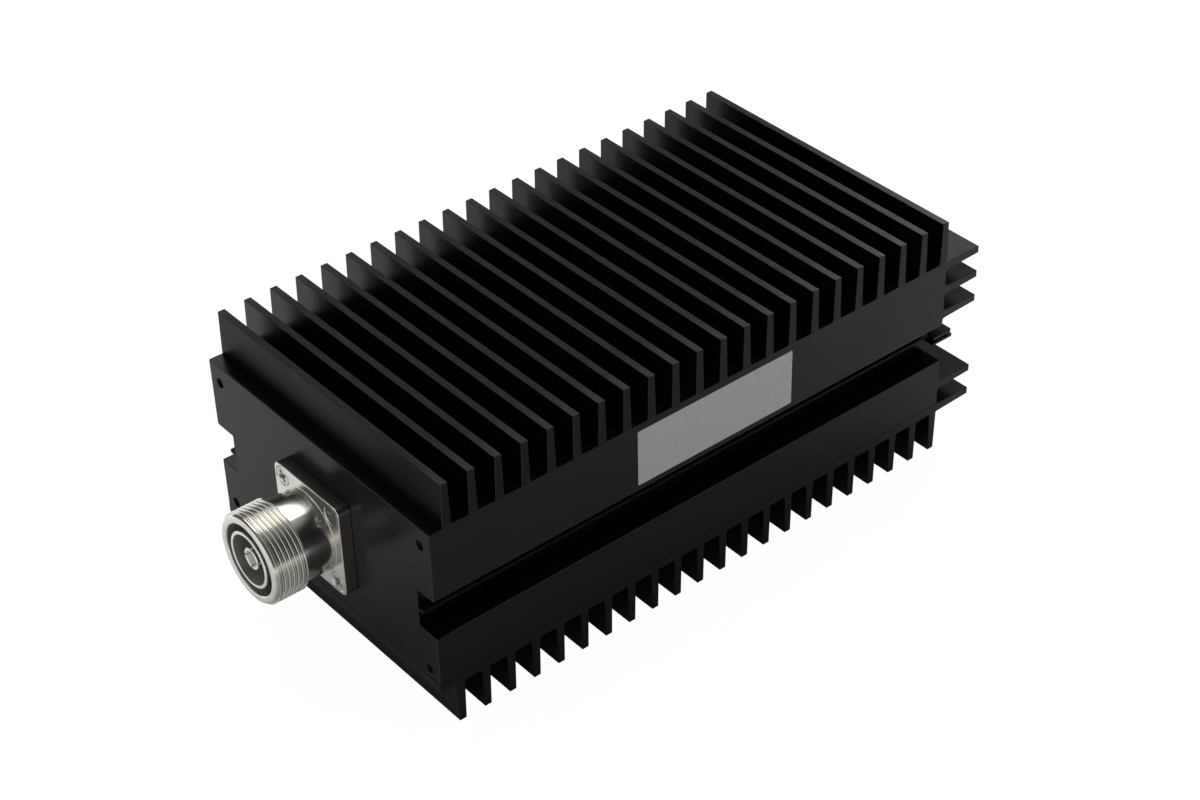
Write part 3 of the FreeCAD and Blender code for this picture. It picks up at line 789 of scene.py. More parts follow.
FINISHES: dict[Skin, Anodised | Metal | Matter] = {
    Skin.FLANK: Anodised("anodised_flank", BLACK, SOOT, (0.26, 0.32), 0.18, lines=(1, 9, 1)),
    Skin.FRONT_FLANK: Anodised("anodised_front_flank", BLACK, SOOT, (0.38, 0.44), 0.10, lines=(1, 9, 1)),
    Skin.CUT: Anodised("anodised_saw_cut", (0.0062, 0.0060, 0.0064), (0.0076, 0.0073, 0.0078),
                       (0.36, 0.44), 0.18, blotch=20, grain=0.22),
    # Darker copy of the saw cut for the sides below the upper groove: painted shade
    Skin.CUT_SHADED: Anodised("anodised_saw_cut_painted_shade", (0.0032, 0.0030, 0.0034), (0.0050, 0.0046, 0.0050),
                           (0.34, 0.46), 0.18, blotch=9, grain=0.25),
    Skin.FIN_CUT: Anodised("anodised_fin_cut", (0.0036, 0.0034, 0.0038), (0.0050, 0.0047, 0.0052),
                           (0.36, 0.46), 0.15, blotch=12, grain=0.2, grain_share=0.4, lines=(1, 1, 7)),
    # Fin tops get lighter towards their ends: a painted highlight, partly wear
    Skin.TIP: Anodised("anodised_fin_tip", (0.0028, 0.0030, 0.0026), (0.0050, 0.0053, 0.0046),
                       (0.24, 0.32), 0.038, blotch=5, grain=0.3, grain_share=0.9, lines=(1, 22, 1),
                       depth=0.006, wear_and_highlight=(0.032, 0.033, 0.028), worn_share=0.06, ends=(40, 52),
                       ends_wear_and_highlight_share=0.6),
    # Lighter bevels: edge wear, partly a painted highlight
    Skin.EDGE: Anodised("anodised_edge_wear_and_highlight", (0.008, 0.0072, 0.0065), (0.022, 0.018, 0.016),
                        (0.35, 0.5), 0.3, blotch=4, grain=0.3, grain_share=0.5,
                        wear_and_highlight=(0.07, 0.055, 0.045), worn_share=0.12),
    Skin.CHANNEL: Anodised("anodised_channel_floor", BLACK, SOOT, (0.5, 0.6), 0.02),
    Skin.REAR_FIN: Anodised("anodised_rear_fin", (0.0035, 0.0033, 0.0028), (0.009, 0.0085, 0.007),
                            (0.16, 0.26), 0.02, blotch=6, grain=0.25, grain_share=0.9, lines=(1, 40, 1),
                            depth=0.003),
    # Shaded copy for the lower rear fins, painted shade, whose ends get lighter: a painted highlight
    Skin.REAR_SHADE: Anodised("anodised_shaded_fin", (0.0004, 0.0003, 0.0002), (0.0010, 0.0008, 0.0007),
                              (0.2, 0.3), 0.009, blotch=5, grain=0.25, grain_share=0.5, lines=(1, 30, 1),
                              depth=0.003, wear_and_highlight=(0.016, 0.013, 0.010), ends=(48, 54), ends_wear_and_highlight_share=0.6),
    Skin.END_FACE: Anodised("anodised_end_plate", (0.0052, 0.0048, 0.0056), (0.0068, 0.0062, 0.0070),
                            (0.22, 0.27), 0.095, blotch=16, grain=0.3, depth=0.0015),
    Skin.END_LOW: Anodised("anodised_end_low", (0.0088, 0.0084, 0.0088), (0.0108, 0.0102, 0.0108),
                           (0.22, 0.27), 0.1, blotch=16, grain=0.3, depth=0.0015),
    Skin.LEDGE: Anodised("anodised_sheet", (0.003, 0.0026, 0.0032), (0.007, 0.006, 0.0065),
                         (0.30, 0.4), 0.08, blotch=8, grain=0.3, lines=(9, 1, 1),
                         wear_and_highlight=(0.03, 0.02, 0.018), worn_share=0.05),
    Skin.PLATING: Metal("bright_plating", (0.79, 0.775, 0.72), (0.66, 0.64, 0.58), (0.14, 0.19),
                        LATHED, mark=0.1, depth=0.0005),
    Skin.CONTACT: Metal("silver_plating", (0.84, 0.83, 0.79), (0.70, 0.69, 0.64), (0.14, 0.22),
                        LATHED, mark=0.1, depth=0.0005),
    # Darker, less metallic copy of the plating for faces inside the gaps: painted shade
    Skin.SHADED_BORE: Metal("satin_silver_bore_painted_shade", (0.44, 0.45, 0.40), (0.26, 0.27, 0.24), (0.24, 0.38),
                     LATHED, mark=0.12, depth=0.003, metallic=0.6),
    # Near-white, mostly matt copy of the silver for the socket's bore: painted highlight
    Skin.LIT_SOCKET: Metal("silver_bore_painted_highlight", (0.95, 0.94, 0.88), (0.86, 0.85, 0.79), (0.25, 0.35),
                       LATHED, mark=0.12, metallic=0.15),
    Skin.SCREW: Metal("screw_plating", (0.72, 0.71, 0.68), (0.50, 0.49, 0.46), (0.14, 0.26), mark=0.2),
    Skin.DARK_SCREW: Anodised("black_oxide", (0.012, 0.012, 0.013), (0.03, 0.03, 0.032),
                              (0.32, 0.45), 0.5, blotch=3, grain=0.2),
    Skin.LABEL: Matter("matt_silver_film", (0.36, 0.36, 0.368), (0.315, 0.315, 0.322), (0.38, 0.5),
                       grain=0.12, depth=0.002),
}

INNER_FINISHES: dict[str, Metal | Matter] = {
    "parting_gasket": Matter("gasket_rubber", (0.012, 0.012, 0.013), (0.03, 0.03, 0.03), (0.6, 0.8)),
    "flange_seal": Matter("seal_rubber", (0.010, 0.010, 0.010), (0.025, 0.025, 0.025), (0.45, 0.6)),
    "connector_insulator": Matter("white_insulator", (0.82, 0.81, 0.77), (0.70, 0.69, 0.64), (0.35, 0.5)),
    "launch_bead": Matter("launch_insulator", (0.80, 0.79, 0.75), (0.68, 0.67, 0.62), (0.35, 0.5)),
    "launch_pin": Metal("gilt_pin", (0.85, 0.62, 0.27), (0.62, 0.42, 0.16), (0.14, 0.26), (1, 8, 8)),
    "load_carrier": Metal("copper_carrier", (0.80, 0.42, 0.28), (0.45, 0.22, 0.14), (0.25, 0.4),
                          (9, 1, 1)),
    "thermal_foil": Metal("soft_foil", (0.62, 0.62, 0.64), (0.42, 0.42, 0.44), (0.4, 0.6)),
    "load_chip": Matter("white_ceramic", (0.78, 0.77, 0.72), (0.62, 0.61, 0.57), (0.4, 0.55), grain=0.2),
    "load_cover": Matter("ceramic_lid", (0.70, 0.70, 0.66), (0.52, 0.52, 0.49), (0.4, 0.6), grain=0.2),
    "load_tab": Metal("silver_ribbon", (0.82, 0.81, 0.77), (0.60, 0.59, 0.55), (0.18, 0.3)),
    "carrier_screws": Metal("small_screw_steel", (0.60, 0.59, 0.57), (0.40, 0.39, 0.37), (0.22, 0.36)),
}


# Pieces, with sizes in millimetres; a docstring lists those that their names don't explain


@dataclass(frozen=True)
class Block:
    """Heights, widths and reaches that the pieces share, in millimetres.

    The value called near says how close to an edge or plane a face counts as lying at it.
    """

    length: float = 199.3
    side: float = 54.15
    neck: float = 46.05
    plate: float = 5.0
    underside: float = 14.2
    seam: float = 17.4
    top: float = 71.9
    port: float = 43.05
    flange_face: float = -4.2
    groove_roof: float = 47.9
    groove_floor: float = 34.5
    parting: float = 41.5
    sheet_bottom: float = 40.3
    lower_top: float = 39.4
    cavity_side: float = 11.5
    cavity_end: float = 67.0
    cavity_roof: float = 51.5
    cavity_floor: float = 34.4
    fin_foot: float = 3.05
    fin_tip: float = 2.35
    rear_reach: float = 213.6
    end_chamfer: float = 0.12
    screw_at: float = 12.127
    screw_hole: float = 1.7
    near: float = 0.5

    @property
    def origin(self) -> np.ndarray:
        """Where the end plate's outer face meets the floor in the row's frame, in metres."""
        return np.array([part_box("front_plate")[0].x, 0, 0])

    @property
    def axis(self) -> Pair:
        """Where the connector's axis crosses the end plate."""
        return 0.0, self.port

    @property
    def screw_spots(self) -> list[Pair]:
        """Where the flange screws cross the end plate."""
        return [(y * self.screw_at, self.port + z * self.screw_at) for y in (-1, 1) for z in (-1, 1)]

    def fin(self, height: float) -> np.ndarray:
        """Outline of a fin, seen with its foot on a level line: foot, tip, tip, foot."""
        foot, tip = self.fin_foot / 2, self.fin_tip / 2
        return np.array([(foot, 0), (tip, height), (-tip, height), (-foot, 0)])

    def rear_fins(self, middles: tuple[float, ...]) -> np.ndarray:
        """Corners of fins on the rear face, from the lowest up."""
        fin = self.fin(self.rear_reach - self.length)[::-1, ::-1]
        return repeated(fin, [(self.length, middle) for middle in middles])

    def behind(self, at: Faces) -> np.ndarray:
        """Marks the faces behind the block that look up."""
        return (at.x > self.length + self.near) & (at.nz > UPWARD)

    def outer(self, at: Faces) -> np.ndarray:
        """Marks the faces at either side of the block."""
        return abs(at.y) > self.side - self.near


@dataclass
class Part:
    """What every sub-assembly works with.

    Attributes:
        block: The shared sizes.
        looks: Each skin's material.
    """

    block: Block
    looks: dict[Skin, bpy.types.Material]

    def put_in(self, shell: Shell, node: str, rest: Skin, tests: Tests | None = None) -> None:
        """Makes a shell's piece, dresses it, hangs it on the root body and hides the CAD node that it
        stands for.

        Args:
            shell: The shell.
            node: The node's name.
            rest: The skin of the faces that pass no test.
            tests: Gives the skins' tests for the piece's faces; a face takes the first one it passes.
        """
        piece = shell.finish(self.block.origin)
        found = tests(Faces(piece.data, self.block.origin)) if tests else {}
        for skin in (*found, rest):
            piece.data.materials.append(self.looks[skin])
        if found:
            choice = np.select(list(found.values()), range(len(found)), len(found))
            piece.data.polygons.foreach_set("material_index", choice.astype(np.int32))
            piece.data.update()
        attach(piece, "root")
        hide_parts(node)


@dataclass
class Halves(Part):
    """The finned upper half and the lower half of the block.

    Attributes:
        top_first: Middle of the first top fin.
        rear_upper: Middles of the upper half's rear fins, from the lowest up.
        rear_lower: Middle of the lower half's rear fin.
        roof_rounding: Rounding of the upper wall's lower edge.
        floor_rounding: Rounding of the lower wall's upper edge.
        ledge: Thickness, half width and reach of the thin ledge behind the neck.
        ledge_edge: Rounding of its corners and bevel of its edges.
        shoulder_steps: The number of rings on a shoulder's rounded edge.
    """

    top_first: float = 6.245
    top_pitch: float = 9.1205
    top_count: int = 22
    top_height: float = 14.7
    rear_upper: tuple[float, ...] = (52.175, 61.275, 70.375)
    rear_lower: tuple[float, ...] = (24.9,)
    roof_rounding: float = 0.85
    floor_rounding: float = 0.25
    tip_rounding: float = 0.1
    rear_tip_rounding: float = 0.07
    foot_rounding: float = 0.35
    root_rounding: float = 1.1
    ledge: Triple = (1.1, 50.95, 8.6)
    ledge_edge: Pair = (0.5, 0.15)
    corner_steps: int = 4
    shoulder_steps: int = 7

    def rings(self, part_at: float, step: float, hollow: float, rounding: float) -> list[Ring]:
        """Lists the rings of a half, from its left side to its right side.

        At a distance r(1 - cos a) from the side face, the shoulder's edge is r(1 - sin a) further
        in, which is a quarter circle. Then come the wide part, the neck and the cavity, whose
        rings double up where one wall drops to the next.

        Args:
            part_at: Height of the face where the halves part.
            step: Height of the shoulder.
            hollow: Height of the cavity's roof or floor.
            rounding: Radius of the shoulder's edge, signed upwards.

        Returns:
            One row for each ring: its y, how far its fins are drawn in, and the heights of the
            neck's corners in front (three), at the cavity's end (two) and behind (two).
        """
        block = self.block
        angle = np.linspace(0, pi / 2, self.shoulder_steps)
        away = abs(rounding) * (1 - np.cos(angle))
        rings = []
        for distance, height in zip(away, step + rounding * (1 - np.sin(angle))):
            inner = max(hollow, height) if rounding > 0 else min(hollow, height)
            inset = max(0.0, block.end_chamfer - distance)
            rings.append((distance - block.side, inset, (inner,) + (height,) * 6))
        wide = (hollow, step, step, step, step, step, step)
        narrow = (hollow, step, part_at, part_at, part_at, part_at, step)
        notched = (hollow, step, step, step, step, part_at, step)
        hollowed = (hollow, hollow, hollow, hollow, step, part_at, step)
        rings += [(-block.neck, 0, heights) for heights in (wide, narrow)]
        rings += [(-block.cavity_side, 0, heights) for heights in (narrow, notched, hollowed)]
        return rings + [(-across, inset, heights) for across, inset, heights in rings[::-1]]

    def outlines(self, rings: list[Ring], comb: np.ndarray, drawn: np.ndarray, radii: list[float],
                 upper: bool) -> list[np.ndarray]:
        """Joins every ring's neck to its rounded comb of fins.

        Args:
            rings: The rings.
            comb: Corners of the fins' outline, from one end of the shoulder to the other.
            drawn: For each side from the shoulder on, 1 where it is drawn in and 0 where not.
            radii: The rounding of each corner of the shoulder and the comb.
            upper: Whether this is the upper half.

        Returns:
            The rings' (x, z) outlines.
        """
        block, order, found = self.block, slice(None, None, 1 if upper else -1), []
        for _, inset, heights in rings:
            shoulder = np.array([(block.plate, heights[-1]), (block.length, heights[-1])])[order]
            sharp = drawn_in(np.concatenate([shoulder, comb]), drawn * inset)
            back = sharp[1 if upper else 0, 0]
            along = (block.plate,) * 3 + (block.cavity_end,) * 2 + (back,) * 2
            neck = np.stack([along, heights], axis=1)[order]
            curve = eased(sharp, radii, self.corner_steps)[len(shoulder) * self.corner_steps:]
            found.append(np.concatenate([neck, curve]))
        return found

    def build_upper(self) -> None:
        """Sweeps the upper half: rear fins, then top fins from behind to the front."""
        block = self.block
        rear = block.rear_fins(self.rear_upper)[:-1]
        middles = self.top_first + self.top_pitch * np.arange(self.top_count)[::-1]
        fins = repeated(block.fin(self.top_height), [(middle, block.top) for middle in middles])
        comb = np.concatenate([rear, fins, [(block.plate, block.top)]])
        drawn = np.ones(len(comb) + 2)
        drawn[[0, -2, -1]] = 0
        rear_radii = (round_fin(self.root_rounding, self.rear_tip_rounding) * len(self.rear_upper))[:-1]
        fin_radii = (round_fin(self.foot_rounding, self.tip_rounding) * self.top_count)[:-1]
        rings = self.rings(block.parting, block.groove_roof, block.cavity_roof, self.roof_rounding)
        outlines = self.outlines(rings, comb, drawn, [0, 0, *rear_radii, *fin_radii, 0, 0], True)
        fin_points = len(fins) // self.top_count * self.corner_steps
        fins_end = len(outlines[0]) - self.corner_steps
        runs = tuple(range(fins_end - fin_points * (number + 1), fins_end - fin_points * number)
                     for number in range(self.top_count))
        shell = Shell("upper_heatsink_finned")
        shell.sweep([ring[0] for ring in rings], outlines, runs)
        self.put_in(shell, "upper_heatsink", Skin.FLANK, lambda at: {
            Skin.FIN_CUT: (abs(at.ny) > SIDEWAYS) & (at.z > block.top),
            Skin.CUT: abs(at.ny) > SIDEWAYS,
            # Bevels take the lighter edge finish: wear, partly a painted highlight
            Skin.EDGE: abs(at.ny) > SLANTED,
            Skin.TIP: (at.nz > FACING) & (at.z > block.top + self.top_height - block.near),
            Skin.FRONT_FLANK: (at.nx < -FACING) & (at.z > block.top) & (at.x < self.top_first),
            Skin.CHANNEL: (at.nz > UPWARD) & (abs(at.z - block.top) < block.near)
            & (at.x < block.length),
            Skin.REAR_FIN: block.behind(at) & (at.z > self.rear_upper[-1]),
            Skin.REAR_SHADE: block.behind(at),
        })

    def build_lower(self) -> None:
        """Sweeps the lower half with its rear fin, and adds the thin ledge behind the neck."""
        block = self.block
        comb = np.concatenate([[(block.plate, block.seam), (block.length, block.seam)],
                               block.rear_fins(self.rear_lower)])
        drawn = np.ones(len(comb) + 2)
        drawn[[0, 1]] = 0
        radii = [0, 0, 0, 0, *round_fin(self.root_rounding, self.rear_tip_rounding)]
        rings = self.rings(block.lower_top, block.groove_floor, block.cavity_floor, -self.floor_rounding)
        shell = Shell("lower_body_block")
        shell.sweep([ring[0] for ring in rings], self.outlines(rings, comb, drawn, radii, False))
        thickness, half, reach = self.ledge
        corner, bevel = self.ledge_edge
        levels = (block.lower_top - thickness, block.lower_top)
        shell.add_plate(Axis.UP, rectangle((block.length, -half), (block.length + reach, half)),
                        [0, corner, corner, 0], levels, (bevel, bevel))
        self.put_in(shell, "lower_body", Skin.FLANK, lambda at: {
            # The sides take the darker copy of the saw cut, a painted shade
            Skin.CUT_SHADED: (abs(at.ny) > SIDEWAYS) & block.outer(at),
            # Bevels take the lighter edge finish: wear, partly a painted highlight
            Skin.EDGE: (abs(at.ny) > SLANTED) & block.outer(at) & (at.z > block.seam + block.near),
            Skin.REAR_SHADE: block.behind(at),
        })

    def build(self) -> None:
        """Builds both halves."""
        self.build_upper()
        self.build_lower()


@dataclass
class BottomPlate(Part):
    """The thin base plate with the bottom fins, which runs on as the lowest rear fin.

    Attributes:
        first: Start of the first fin's foot.
        rounding: Rounding of the fins' tips and of the plate's ends.
        seam_band: Width of the band below the seam whose bevel is dressed as a flank.
    """

    first: float = 5.57
    pitch: float = 9.08
    count: int = 22
    rounding: float = 0.08
    foot_rounding: float = 0.35
    bevel: float = 0.08
    seam_band: float = 0.2

    def build(self) -> None:
        """Sweeps the plate's comb of fins across the block, with a bevel at either end."""
        block = self.block
        middles = self.first + block.fin_foot / 2 + self.pitch * np.arange(self.count)
        fins = repeated(block.fin(block.underside)[::-1] * (1, -1),
                        [(middle, block.underside) for middle in middles])
        half = block.fin_tip / 2
        middle_height = (block.underside + block.seam) / 2
        corners = np.concatenate([[(0, block.seam), (0, block.underside)], fins, [
            (block.rear_reach, middle_height - half), (block.rear_reach, middle_height + half),
            (block.length, block.seam)]])
        tip, inset = self.rounding, self.bevel
        radii = [tip, tip, *(round_fin(self.foot_rounding, tip) * self.count), tip, tip, 0]
        shell = Shell("bottom_fin_plate_finned")
        shell.sweep([-block.side, inset - block.side, block.side - inset, block.side],
                    [eased(drawn_in(corners, depth), radii) for depth in (inset, 0, 0, inset)])
        self.put_in(shell, "bottom_fin_plate", Skin.FLANK, lambda at: {
            # The sides take the darker copy of the saw cut, a painted shade
            Skin.CUT_SHADED: (abs(at.ny) > SIDEWAYS)
            | (abs(at.ny) > SLANTED) & (at.z < block.seam - self.seam_band),
            Skin.END_LOW: (at.nx < -FACING) & (at.x < self.first + block.fin_foot / 2),
            Skin.REAR_SHADE: block.behind(at),
        })


@dataclass
class EndPlate(Part):
    """The plain plate in front, notched at the sides, with its bored and tapped holes.

    Attributes:
        side_radii: Rounding of one side's corners, from the top down.
        bracket_side: y of the bracket holes.
        bracket_heights: z of the bracket holes.
        bracket_mouth: Width of the bevel at a bracket hole's mouth.
        bracket_groove: Depth of their thread.
        bracket_fades: Lengths over which their thread starts and ends.
        columns: The numbers of points round a spigot, flange screw and bracket hole.
    """

    side_radii: tuple[float, ...] = (0.3, 0.85, 0.2, 0.2, 0.25, 0.2)
    spigot_hole: float = 9.15
    bracket_side: float = 49.35
    bracket_heights: Pair = (20.4, 65.7)
    bracket_hole: float = 1.65
    bracket_mouth: float = 0.2
    bracket_pitch: float = 0.7
    bracket_groove: float = 0.28
    bracket_fades: Pair = (0.4, 0.4)
    bevel: float = 0.22
    columns: tuple[int, int, int] = (64, 32, 36)
    corner_steps: int = 6

    def bracket(self, middle: Pair) -> Hole:
        """Makes a tapped hole with a small bevel at its mouth.

        Args:
            middle: Where its axis crosses the plate, as (y, z).

        Returns:
            The hole.
        """
        angle = full_turn(self.columns[2])
        wall = threaded((self.bracket_mouth, self.block.plate), self.bracket_hole, -self.bracket_groove,
                        self.bracket_pitch, angle, self.bracket_fades)
        rim = np.broadcast_to([0.0, self.bracket_hole + self.bracket_mouth], (1, len(angle), 2))
        return Hole(middle, np.concatenate([rim, wall]), angle)

    def plain(self, middle: Pair, radius: float, count: int) -> Hole:
        """Makes a plain bore."""
        return Hole(middle, np.array([(0, radius), (self.block.plate, radius)]), full_turn(count))

    def build(self) -> None:
        """Cuts the notched outline into a plate, with its holes."""
        block = self.block
        half = np.array([(block.side, block.top), (block.side, block.groove_roof),
                         (block.neck, block.groove_roof), (block.neck, block.groove_floor),
                         (block.side, block.groove_floor), (block.side, block.seam)])
        holes = [self.plain(block.axis, self.spigot_hole, self.columns[0])]
        for way in (-1, 1):
            holes += [self.bracket((way * self.bracket_side, height)) for height in self.bracket_heights]
            holes += [self.plain(spot, block.screw_hole, self.columns[1])
                      for spot in block.screw_spots if spot[0] * way > 0]
        shell = Shell("front_plate_drilled")
        radii = mirrored(np.array(self.side_radii), 1)
        shell.add_plate(Axis.ALONG, mirrored(half, (-1, 1))[::-1], radii, (0, block.plate), (self.bevel, 0),
                        tuple(holes), self.corner_steps)
        self.put_in(shell, "front_plate", Skin.FLANK, lambda at: {
            Skin.END_FACE: at.nx < -SQUARE_ON,
            # Bevels take the lighter edge finish: wear, partly a painted highlight
            Skin.EDGE: (at.nx < -BEVELLED) & (at.x < self.bevel),
            Skin.CUT: (abs(at.ny) > SIDEWAYS) & block.outer(at) & (at.z > block.groove_roof),
            # Below the upper groove the sides take the darker saw cut, a painted shade
            Skin.CUT_SHADED: (abs(at.ny) > SIDEWAYS) & block.outer(at),
        })


@dataclass
class CentreSheet(Part):
    """The sheet between the halves, with lips in the grooves and a wider tab behind.

    Attributes:
        lip: Half width of the lips.
        tab: Half width of the tab.
        tab_reach: How far the tab stands out behind the block.
        side_radii: Rounding of one side's corners, from the cavity to the tab.
    """

    lip: float = 48.75
    tab: float = 50.95
    tab_reach: float = 8.0
    bevel: float = 0.12
    side_radii: tuple[float, ...] = (0, 0, 0, 0, 0.5, 0.3, 0.2, 0.6)

    def build(self) -> None:
        """Cuts the outline from sheet, open in front round the cavity."""
        block = self.block
        half = np.array([(block.cavity_end, block.cavity_side), (block.plate, block.cavity_side),
                         (block.plate, block.neck), (0, block.neck), (0, self.lip),
                         (block.length, self.lip), (block.length, self.tab),
                         (block.length + self.tab_reach, self.tab)])
        radii = mirrored(np.array(self.side_radii), 1)
        shell = Shell("centre_plate_sheet")
        shell.add_plate(Axis.UP, mirrored(half, (1, -1))[::-1], radii, (block.sheet_bottom, block.parting),
                        (self.bevel, self.bevel))
        self.put_in(shell, "centre_plate", Skin.FLANK, lambda at: {
            Skin.REAR_SHADE: (at.x > block.length - block.near) & (at.nz > UPWARD),
            Skin.LEDGE: at.x <= block.length - block.near,
        })


@dataclass
class ConnectorPart(Part):
    """Sizes that the connector's pieces share.

    Attributes:
        front: x of the barrel's front.
        line_bore: Radius of the line's outer conductor.
        spigot: Radius of the rear spigot and of the sleeve.
        turns: Number of columns round the axis.
    """

    front: float = -25.4
    line_bore: float = 8.0
    spigot: float = 9.1
    turns: int = 160

    def inward(self, at: Faces, behind: float) -> np.ndarray:
        """Marks the faces behind an x that look towards the connector's axis."""
        return (at.ny * at.y + at.nz * (at.z - self.block.port) < 0) & (at.x > behind)


@dataclass
class Connector(ConnectorPart):
    """The plated piece: a threaded barrel with its square flange and a rear spigot.

    Attributes:
        flange_edge: Rounding of its front edge, and bevel of its rear edge.
        thread: Radius of the thread's crests.
        thread_end: x where the thread ends.
        thread_fades: Lengths over which the groove starts behind the nose and ends.
        nose: Radius, length, rounding and rear rounding of the rim in front of the thread.
        step: Length of the cone behind the thread, and rounding of its foot.
        neck: Radius of the plain barrel behind the thread.
        gap_radius: Inner radius of the barrel's front.
        gap_end: x of the gap's floor.
        floor_band: How far behind the gap's floor a face still counts as lying in the gap.
        seat: Radius of the sleeve's seat, and x of its floor.
        seal_groove: Inner and outer radius of the seal's groove, and its depth.
        mouth: Radius of the countersinks' mouths.
    """

    flange_half: float = 16.0
    flange_corner: float = 2.7
    flange_edge: Pair = (0.3, 0.15)
    thread: float = 14.5
    thread_groove: float = 0.8
    thread_pitch: float = 1.5
    thread_end: float = -14.0
    thread_fades: Pair = (0.9, 0.4)
    nose: tuple[float, ...] = (14.0, 1.3, 1.2, 0.1)
    step: Pair = (0.7, 0.15)
    neck: float = 13.1
    root_fillet: float = 0.3
    gap_radius: float = 11.3
    gap_lip: float = 0.8
    gap_end: float = -14.0
    floor_band: float = 0.1
    seat: Pair = (9.15, -3.0)
    spigot_bevel: float = 0.2
    seal_groove: Triple = (10.0, 12.2, 1.8)
    mouth: float = 3.3
    hole_columns: int = 48
    thread_rows: int = 18
    fine_steps: int = 9
    steps: int = 5

    def rounded(self, corners: list[Pair], radii: list[float], steps: int) -> np.ndarray:
        """Rounds an open profile's corners; its two end points stay as they are."""
        return eased(np.array(corners), radii, steps)[steps - 1:-(steps - 1)]

    def turn_barrel(self, shell: Shell, angle: np.ndarray) -> None:
        """Turns the barrel with its thread and bore.

        The barrel is one profile in front of the thread and one behind it. A cone leads from the
        last ridge down to the neck, and the nose is rounded off towards the front.

        Args:
            shell: The shell that takes the faces.
            angle: The angles round the axis.
        """
        block, end, bevel = self.block, self.thread_end, self.spigot_bevel
        face = block.flange_face
        nose_radius, nose_length, nose_rounding, nose_back = self.nose
        seat, seat_floor = self.seat
        seal_inner, seal_outer, seal_depth = self.seal_groove
        cone, cone_foot = self.step
        thread_start = self.front + nose_length
        root = self.rounded(
            [(face, self.neck + self.root_fillet), (face, self.neck), (end, self.neck),
             (end - cone, self.thread)],
            [0, self.root_fillet, cone_foot, 0], self.steps)
        wall = threaded((thread_start, end - cone), self.thread, self.thread_groove, self.thread_pitch,
                        angle, self.thread_fades, self.thread_rows)
        nose = self.rounded(
            [(thread_start, self.thread), (thread_start, nose_radius), (self.front, nose_radius),
             (self.front, self.gap_radius), (self.gap_end, self.gap_radius), (self.gap_end, seat)],
            [0, nose_back, nose_rounding, self.gap_lip, 0, 0], self.fine_steps)
        line = np.array([
            (self.gap_end, seat), (seat_floor, seat), (seat_floor, self.line_bore),
            (block.plate, self.line_bore), (block.plate, self.spigot - bevel),
            (block.plate - bevel, self.spigot), (0, self.spigot), (0, seal_inner),
            (-seal_depth, seal_inner), (-seal_depth, seal_outer), (0, seal_outer)])
        for part in (root, wall, nose, line):
            shell.add_grid(turned(part, angle, block.axis), closed=False)

    def build(self) -> None:
        """Joins the barrel to the square flange, whose screw holes are countersunk."""
        block = self.block
        face = block.flange_face
        angle = full_turn(self.turns)
        shell = Shell("connector_shell_threaded")
        self.turn_barrel(shell, angle)
        corners = rectangle((-self.flange_half,) * 2, (self.flange_half,) * 2) + block.axis
        front_edge, rear_bevel = self.flange_edge
        turn = np.linspace(0, pi / 2, self.steps)
        insets = np.append(front_edge * (1 - np.sin(turn)), [0, rear_bevel])
        levels = np.append(face + front_edge * (1 - np.cos(turn)), [-rear_bevel, 0])
        rings = [eased(drawn_in(corners, inset), self.flange_corner, self.fine_steps) for inset in insets]
        shell.add_rings(rings, Axis.ALONG, levels)
        sink = self.mouth - block.screw_hole
        cone = np.array([(face, self.mouth), (face + sink, block.screw_hole), (0, block.screw_hole)])
        holes = [Hole(spot, cone, full_turn(self.hole_columns)) for spot in block.screw_spots]
        for hole in holes:
            shell.add_grid(hole.grid, closed=False)
        round_root, seal_outer = self.neck + self.root_fillet, self.seal_groove[1]
        for row, level, radius in ((0, face, round_root), (-1, 0, seal_outer)):
            rims = [circle(radius, angle[:-1], block.axis), *(hole.rim(row) for hole in holes)]
            shell.add_flat([rings[row], *rims], Axis.ALONG, level)
        self.put_in(shell, "connector_shell", Skin.PLATING, lambda at: {
            # Faces inside the gap take the darker bore finish, a painted shade
            Skin.SHADED_BORE: self.inward(at, self.front + self.gap_lip)
            & (at.x < self.gap_end + self.floor_band),
        })


